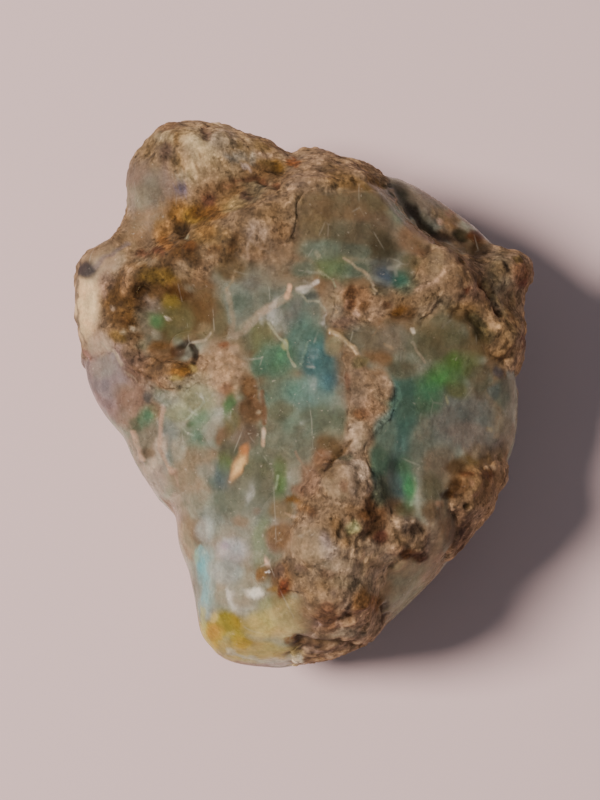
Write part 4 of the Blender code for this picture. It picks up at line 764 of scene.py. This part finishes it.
class Patch:
    """A piece's share of the skin, evened out: where its points lie, how they look and how they rise."""

    def __init__(self, mesh, rounds):
        axes, links = read(mesh.vertices, "co", 3).T, read(mesh.edges, "vertices", 2, int)
        self.points = np.column_stack([even_out(axis, links, rounds) for axis in axes])
        write_points(mesh, self.points)
        self.normals = read(mesh.vertices, "normal", 3)
        self.rays = self.points - HEART
        self.rays /= np.linalg.norm(self.rays, axis=1)[:, None]
        self.cover = sum(get_values(mesh, name) for name in ISLANDS)
        self.depth = get_values(mesh, "depth")
        self.lumpy = 1.0 - FLUSH_CALM * get_values(mesh, "flush")
        self.find_places()
        self.tone = unlit(self.lay_out(self.mix()), self.normals)
        self.find_crust()
        self.add_grains()

    def noise(self, size, seed):
        return speckle(self.points, size, seed)

    def bent(self, amount):
        """The points pushed about by noise, so that grains laid out on them aren't round."""
        return self.points + amount * np.column_stack((self.fine[0], self.fine[1], self.wide[0]))

    def find_places(self):
        """How well each point shows from the camera, and where, with noise to fray the layout's edges."""
        square = facing(self.points, self.normals)
        ragged = square + 0.16 * self.noise(1.4, 36) + 0.06 * self.noise(0.4, 37)
        self.seen = smooth_step(ragged, -0.22, 0.06)
        self.plain = smooth_step(square, -0.10, 0.12)
        steep = 1.0 - np.clip(square, 0.0, 1.0)
        self.wide = [self.noise(1.1, seed) + 0.4 * self.noise(0.45, seed + 1) for seed in (21, 23)]
        self.fine = [self.noise(0.35, seed) for seed in (25, 26)]
        wide_warp = WIDE_WARP * (1.0 + 3.0 * steep ** 3)
        fine_warp = FINE_WARP * (1.0 + 5.0 * steep ** 3)
        across, down = in_frame(self.points)
        self.wide_at = across + wide_warp * self.wide[0], down + wide_warp * self.wide[1]
        self.fine_at = across + fine_warp * self.fine[0], down + fine_warp * self.fine[1]
        self.mark_at = [at + MARK_WARP * (wide + self.noise(0.25, seed))
                        for at, wide, seed in zip(self.fine_at, self.wide, (34, 35))]

    def mix(self):
        """The colours that run all over, and show on the far side."""
        cloud = self.noise(2.4, 27) + 0.5 * self.noise(0.9, 28)
        leaf = self.noise(1.9, 31) + 0.3 * self.fine[0]
        rust = self.noise(2.9, 29) + 0.4 * self.noise(0.8, 30) + 0.1 * self.fine[1]
        self.rusty = smooth_step(rust, 0.16, 0.36)
        tone = np.tile(linear(MILKY), (len(self.points), 1))
        tone = lay(tone, SMOKY, smooth_step(cloud, -0.2, 0.7))
        tone = lay(tone, LEAFY, 0.55 * smooth_step(leaf, 0.15, 0.6))
        tone = lay(tone, RUSTY, 0.85 * self.rusty)
        bent = self.bent(0.18)
        cell, pick = grains(bent * np.array((1.0, 1.0, 1.5)), 1.3, 61)
        glow = 0.8 * (1.0 - self.seen) * (1.0 - smooth_step(cell, 0.12, 0.42))
        for least, colour in FAR_FLASHES:
            tone = lay(tone, colour, glow * (pick > least))
        cell, pick = grains(bent, 0.55, 62)
        dot = (1.0 - smooth_step(cell, 0.10, 0.34)) * smooth_step(cloud, -0.4, 0.5)
        tone = lay(tone, SPECK, (0.75 - 0.45 * self.seen) * (pick > 0.86) * dot)
        return lay(tone, EARTH, smooth_step(self.cover + 0.2 * self.fine[0], 0.1, 0.6))

    def lay_out(self, tone):
        """Lay the upper side's own colours over the mix."""
        tone = lay_spots(tone, self.wide_at, ZONES, 0.4, self.seen)
        tone = lay_spots(tone, self.mark_at, MARKS, 0.45, self.plain)
        fibre = 0.75 + 0.45 * self.noise(0.22, 33)
        for route, half_width, colour, strength in LINES:
            away = off_route(self.fine_at, route) / (half_width * (0.55 + 0.6 * fibre))
            share = strength * self.plain * np.clip(0.3 + fibre, 0.4, 1.0)
            tone = lay(tone, colour, share * (1.0 - smooth_step(away, 0.3, 1.2)))
        return lay_spots(tone, self.mark_at, FLASHES, 0.9, self.plain)

    def find_crust(self):
        """Where the surface is crusty with grains, and where it is dull, by crust or by wear."""
        self.crusty = np.maximum(smooth_step(self.cover, 0.1, 0.6), 0.8 * (1.0 - self.seen) * self.rusty)
        for inside, strength in spots(self.wide_at, CRUSTY):
            self.crusty = np.maximum(self.crusty, strength * self.seen * inside)
        for inside, strength in spots(self.wide_at, SMOOTH, 0.3):
            self.crusty = self.crusty * (1.0 - strength * self.seen * inside)
        self.dull = self.crusty
        for inside, in spots(self.wide_at, DULL):
            self.dull = np.maximum(self.dull, self.seen * inside)

    def add_grains(self):
        """The grains, chips that overlap with crumbs on them and pits between, and the shade of each."""
        bent = self.bent(0.10)
        chip, chip_pick = grains(bent, CHIP, 5)
        crumb, crumb_pick = grains(bent, CRUMB, 6)
        chip = (1.0 - smooth_step(chip, 0.0, 0.75)) * (0.3 + 0.7 * chip_pick)
        crumb = (1.0 - smooth_step(crumb, 0.0, 0.8)) * (0.3 + 0.7 * crumb_pick)
        pit = smooth_step(self.noise(PIT, 44), 0.25, 0.6)
        rough = CHIP_RISE * chip + CRUMB_RISE * crumb - PIT_DEPTH * pit + 0.07 * self.wide[0] - 0.05
        rough += 0.025 * self.noise(0.15, 43)
        calm = 0.020 * self.noise(0.9, 45) + 0.006 * self.noise(0.25, 46)
        self.height = calm + self.crusty * self.lumpy * (rough - calm)
        for inside, rise in spots(self.fine_at, SHAPES):
            self.height += rise * self.seen * inside
        for route, half_width, rise in FURROWS:
            away = off_route(self.fine_at, route) / half_width
            self.height += rise * self.seen * (1.0 - smooth_step(away, 0.0, 1.6))

        # From cream through tan to umber, darker in the pits and paler on the raised chips, and some warmer
        # than others.
        light = 0.60 * (chip_pick - 0.5) + 0.45 * (crumb_pick - 0.5) + 0.35 * (chip - 0.35) - 0.45 * pit
        light += 0.45 * self.noise(0.55, 47) + 0.3 * self.noise(0.26, 48)
        warm = 0.5 * self.noise(0.7, 49) + 0.4 * (crumb_pick - 0.5)
        hue = np.exp(np.outer(self.crusty * warm, WARMTH))
        self.tone = self.tone * np.exp(GRAIN_CONTRAST * self.crusty * light)[:, None] * hue

    def colour(self, mesh):
        """Store the colours on the mesh that has these points, and how crusty it is."""
        full = np.column_stack((np.clip(self.tone, 0.0, 1.0), np.ones(len(self.tone))))
        layer = mesh.color_attributes.new("tone", "FLOAT_COLOR", "POINT")
        layer.data.foreach_set("color", full.astype(np.float32).ravel())
        put_values(mesh, "crusty", self.crusty)


# ---- the opal ----------------------------------------------------------------------------------------
# The translucent body of the stone: hydrated silica that broke with smooth, shallow hollows.  It glows
# milky at its thin edges, by its own scatter and by a glow painted into the knob's foot, is stained brown
# beside the rock, and flashes green and blue in a few places.
SEAM_SINK = 0.03
OPAL_SINK = 0.75
# The skin is finer where the opal is bare, above this height, and finer again along its lines.
FINE_ABOVE = 2.2
FINE_COVER = 0.75
LINE_REACH = 1.5
BREAK_CELL = 2.4
BREAK_TILT = 0.05
# Noise over a colour: size, detail and roughness, the range that it is read over, and the shades.
ROCK_MOTTLE = (0.34, 3.0, 0.6, 0.32, 0.68, 0.66, 1.34)
ROCK_GRIT = (0.13, 2.0, 0.6, 0.30, 0.70, 0.78, 1.22)
ROCK_FLECKS = (0.19, 2.0, 0.5, 0.57, 0.66, 1.0, 1.40)
ROCK_PORES = (0.24, 2.0, 0.5, 0.33, 0.42, 0.58, 1.0)
OPAL_VEILS = (0.45, 5.0, 0.62, 0.30, 0.70, 0.80, 1.20)
OPAL_DUST = (0.12, 3.0, 0.7, 0.30, 0.70, 0.87, 1.13)
VEIL_TURN = math.radians(14.0)
VEIL_SCALE = (1.0, 0.6, 0.8)
COOL, WARM = (0.93, 1.03, 1.02, 1.0), (1.05, 1.0, 0.95, 1.0)
MOTE_COLOUR, MOTE_STRENGTH = (0.52, 0.47, 0.38, 1.0), 0.22
HAIR_COLOUR, HAIR_STRENGTH = (0.50, 0.48, 0.40, 1.0), 0.16
CRAZING_CELL = 1.9


def refine(bm, faces):
    """Halve the edges of these faces."""
    edges = list(dict.fromkeys(edge for face in faces for edge in face.edges))
    bmesh.ops.subdivide_edges(bm, edges=edges, cuts=1, use_grid_fill=True)
    bmesh.ops.triangulate(bm, faces=bm.faces[:])


def by_a_line(faces):
    """Which faces lie on a crack or a flash, where the colours change within a short way."""
    x, y = in_frame(np.array([face.calc_center_median() for face in faces]))
    near = np.zeros(len(faces), dtype=bool)
    for route, half_width, _, _ in LINES:
        near |= off_route((x, y), route) < half_width + LINE_REACH
    for place_x, place_y, half_x, half_y, *_ in FLASHES:
        near |= np.hypot((x - place_x) / (half_x + LINE_REACH), (y - place_y) / (half_y + LINE_REACH)) < 1.0
    return near


bm = bmesh.new()
bm.from_mesh(skin)
layers = [bm.verts.layers.float[name] for name in ISLANDS]
bare = [face for face in bm.faces
        if max(vert.co.z for vert in face.verts) > FINE_ABOVE and face.normal.z > 0.05
        and min(sum(vert[layer] for layer in layers) for vert in face.verts) < FINE_COVER]
refine(bm, bare)
bare = [face for face in bm.faces
        if face.calc_center_median().z > FINE_ABOVE and face.normal.z > 0.25
        and min(sum(vert[layer] for layer in layers) for vert in face.verts) < FINE_COVER]
refine(bm, [face for face, near in zip(bare, by_a_line(bare)) if near])
opal_mesh = mesh_from(bm, "opal_body")
patch = Patch(opal_mesh, 2)

# Shallow conchoidal breaks: each cell is dished its own way, and its edge catches the light.
breaks = patch.points + 0.25 * patch.noise(1.1, 11)[:, None]
near, cell_pick = grains(breaks, BREAK_CELL, 3)
bare = 1.0 - smooth_step(patch.cover, 0.0, 0.3)
height = patch.height + BREAK_TILT * bare * (near - 0.4) * (0.4 + 0.6 * cell_pick)
height *= smooth_step(patch.points[:, 2], 0.05, 0.6)
sink = SEAM_SINK * smooth_step(patch.cover, 0.1, 0.5) * patch.lumpy
sink += OPAL_SINK * smooth_step(patch.depth, 0.62, 0.95)
points = patch.points + height[:, None] * patch.normals - sink[:, None] * patch.rays
points[:, 2] = np.maximum(points[:, 2], 0.0)

write_points(opal_mesh, points * MM)
for name in (*ISLANDS, "depth", "flush"):
    opal_mesh.attributes.remove(opal_mesh.attributes[name])
patch.colour(opal_mesh)
put_values(opal_mesh, "dull", patch.dull)
opal_mesh.shade_smooth()
opal = add_object("opal_body", opal_mesh)


def math_node(tree, operation, first, second):
    return add_node(tree, "Math", {0: first, 1: second}, operation=operation).outputs[0]


def blend_node(tree, share, first, second, mode="MIX"):
    settings = {"data_type": "RGBA", "blend_type": mode, "clamp_factor": True}
    return add_node(tree, "Mix", {0: share, 6: first, 7: second}, **settings).outputs[2]


def attribute(tree, name):
    return add_node(tree, "Attribute", {}, attribute_name=name)


def noise_node(tree, place, size, detail=2.0, roughness=0.5):
    """Noise whose features are so many millimetres across."""
    inputs = {"Vector": place, "Scale": 1.0 / (size * MM), "Detail": detail, "Roughness": roughness}
    return add_node(tree, "TexNoise", inputs).outputs["Fac"]


def range_node(tree, value, low, high, to_low=0.0, to_high=1.0):
    inputs = {"Value": value, "From Min": low, "From Max": high, "To Min": to_low, "To Max": to_high}
    return add_node(tree, "MapRange", inputs, interpolation_type="SMOOTHSTEP").outputs["Result"]


def shade_node(tree, colour, place, size, detail, roughness, *span):
    """A colour made darker and lighter by noise."""
    shades = range_node(tree, noise_node(tree, place, size, detail, roughness), *span)
    return blend_node(tree, 1.0, colour, shades, "MULTIPLY")


def make_stone_surface():
    """The surface that the opal and the rock share: gritty where it is crusty, and veiled elsewhere."""
    tree = bpy.data.node_groups.new("stone_surface", "ShaderNodeTree")
    for name, kind in (("Place", "Vector"), ("Tone", "Color"), ("Crusty", "Float")):
        tree.interface.new_socket(name, in_out="INPUT", socket_type="NodeSocket" + kind)
    tree.interface.new_socket("Colour", in_out="OUTPUT", socket_type="NodeSocketColor")
    place, tone, crusty = tree.nodes.new("NodeGroupInput").outputs[:3]

    gritty = tone
    for layer in (ROCK_MOTTLE, ROCK_GRIT, ROCK_FLECKS, ROCK_PORES):
        gritty = shade_node(tree, gritty, place, *layer)

    drawn = {"Vector": place, "Rotation": (0.0, 0.0, VEIL_TURN), "Scale": VEIL_SCALE}
    drawn = add_node(tree, "Mapping", drawn).outputs["Vector"]
    clear = shade_node(tree, tone, drawn, *OPAL_VEILS)
    drift = range_node(tree, noise_node(tree, place, 1.1, 3.0, 0.6), 0.35, 0.65)
    clear = blend_node(tree, 1.0, clear, blend_node(tree, drift, COOL, WARM), "MULTIPLY")
    clear = shade_node(tree, clear, place, *OPAL_DUST)
    mote = range_node(tree, noise_node(tree, place, 0.16, 1.0), 0.70, 0.78, 0.0, MOTE_STRENGTH)
    clear = blend_node(tree, mote, clear, MOTE_COLOUR)
    crazing = {"Vector": drawn, "Scale": 1.0 / (CRAZING_CELL * MM)}
    crazing = add_node(tree, "TexVoronoi", crazing, feature="DISTANCE_TO_EDGE").outputs["Distance"]
    hair = range_node(tree, crazing, 0.004, 0.018, HAIR_STRENGTH, 0.0)
    broken = range_node(tree, noise_node(tree, place, 0.9, 2.0), 0.52, 0.64)
    clear = blend_node(tree, math_node(tree, "MULTIPLY", hair, broken), clear, HAIR_COLOUR)
    set_inputs(tree, tree.nodes.new("NodeGroupOutput"), {"Colour": blend_node(tree, crusty, clear, gritty)})
    return tree


stone_surface = make_stone_surface()


def paint_stone(name, colour, roughness, sheen, wear, relief):
    """A material with the shared surface, and its own roughness and fine relief.

    sheen: the roughness, as noise: size, detail, the range that it is read over, least and most.
    wear: the attribute that makes it rougher, and by how much.
    relief: strength, depth in millimetres, and its noise: size, detail, roughness.
    """
    made, tree, shader = paint_plain(name, colour, roughness)
    place = add_node(tree, "TexCoord", {}).outputs["Object"]
    tone, crusty = attribute(tree, "tone").outputs["Color"], attribute(tree, "crusty").outputs["Fac"]
    inputs = {"Place": place, "Tone": tone, "Crusty": crusty}
    surface = add_node(tree, "Group", inputs, node_tree=stone_surface).outputs["Colour"]
    size, detail, *span = sheen
    rough = range_node(tree, noise_node(tree, place, size, detail), *span)
    worn, amount = wear
    worn = math_node(tree, "MULTIPLY", attribute(tree, worn).outputs["Fac"], amount)
    strength, depth, *grain = relief
    bump = {"Strength": strength, "Distance": depth * MM, "Height": noise_node(tree, place, *grain)}
    bump = add_node(tree, "Bump", bump).outputs["Normal"]
    rough = math_node(tree, "ADD", rough, worn)
    set_inputs(tree, shader, {"Base Color": surface, "Roughness": rough, "Normal": bump})
    return made, tree, shader


opal_stuff, tree, shader = paint_stone(
    "precious_opal", (0.5, 0.5, 0.45), 0.2, sheen=(0.7, 3.0, 0.35, 0.65, 0.16, 0.30),
    wear=("dull", 0.45), relief=(0.20, 0.04, 0.30, 4.0, 0.55))
set_inputs(tree, shader, {
    "IOR": 1.45,
    "Specular IOR Level": 0.04,
    "Transmission Weight": 0.12,
    "Subsurface Weight": 0.35,
    "Subsurface Radius": (1.0, 0.9, 0.7),
    "Subsurface Scale": 0.35 * MM,
})
opal_mesh.materials.append(opal_stuff)
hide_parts("opal")
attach(opal, "root")

# ---- the host rock -----------------------------------------------------------------------------------
# What is left of the weathered volcanic ash that the opal grew in: a crust of soft brown grains, packed
# and crumbling, in cream, tan, ochre and umber, darker in its pits and paler on its raised chips.
LEAST_COVER = 0.02
ROCK_DIP = 0.16
ROCK_RISE = 0.04
EDGE_THICKNESS = 0.45
ROCK_THICKNESS = 0.95
ROCK_ABOVE_TABLE = 0.3
INNER = ("inner_x", "inner_y", "inner_z")


def make_rock(name, cover_name):
    """Cut one island of rock out of the skin, give it its crumbling surface and close it underneath."""
    bm = bmesh.new()
    bm.from_mesh(skin)
    layer = bm.verts.layers.float[cover_name]
    spare = [face for face in bm.faces if max(vert[layer] for vert in face.verts) < LEAST_COVER]
    bmesh.ops.delete(bm, geom=spare, context="FACES")
    refine(bm, bm.faces)
    mesh = mesh_from(bm, name)
    patch = Patch(mesh, 1)
    own_cover = get_values(mesh, cover_name)
    hold = own_cover + 0.22 * patch.noise(0.8, 55) + 0.16 * patch.noise(0.3, 56)
    seated = smooth_step(hold, 0.25, 0.75) * smooth_step(own_cover, 0.02, 0.25)
    deep = 0.3 + 0.7 * smooth_step(patch.depth, 0.5, 0.9)
    height = patch.height + patch.lumpy * (ROCK_RISE * seated * deep - ROCK_DIP * (1.0 - seated))
    outer = patch.points + height[:, None] * patch.normals
    outer[:, 2] = np.maximum(outer[:, 2], ROCK_ABOVE_TABLE)
    thickness = EDGE_THICKNESS + (ROCK_THICKNESS - EDGE_THICKNESS) * smooth_step(patch.depth, 0.4, 0.9)
    inner = patch.points - thickness[:, None] * patch.rays

    patch.colour(mesh)
    for axis_name, axis in zip(INNER, inner.T):
        put_values(mesh, axis_name, axis)
    write_points(mesh, outer)
    bm = bmesh.new()
    bm.from_mesh(mesh)
    grown = bmesh.ops.extrude_face_region(bm, geom=bm.faces[:], use_keep_orig=True)["geom"]
    into = [bm.verts.layers.float[axis_name] for axis_name in INNER]
    for vert in grown:
        if isinstance(vert, bmesh.types.BMVert):
            vert.co = Vector([vert[layer] for layer in into])
    bmesh.ops.triangulate(bm, faces=bm.faces[:])
    bmesh.ops.recalc_face_normals(bm, faces=bm.faces[:])
    bmesh.ops.scale(bm, vec=(MM, MM, MM), verts=bm.verts)
    bm.to_mesh(mesh)
    bm.free()
    for spare_name in (*ISLANDS, "depth", "flush", *INNER):
        mesh.attributes.remove(mesh.attributes[spare_name])
    mesh.shade_smooth()
    return add_object(name, mesh)


rock_stuff, tree, shader = paint_stone(
    "host_rock", (0.25, 0.17, 0.1), 0.85, sheen=(0.4, 2.0, 0.3, 0.7, 0.45, 0.60),
    wear=("crusty", 0.32), relief=(0.6, 0.05, 0.10, 5.0, 0.6))
set_inputs(tree, shader, {"Specular IOR Level": 0.15})

for name in ISLANDS:
    rock = make_rock(name.replace("matrix_", "rock_"), name)
    rock.data.materials.append(rock_stuff)
    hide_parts(name)
    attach(rock, "root")

bpy.data.meshes.remove(skin)
low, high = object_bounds()
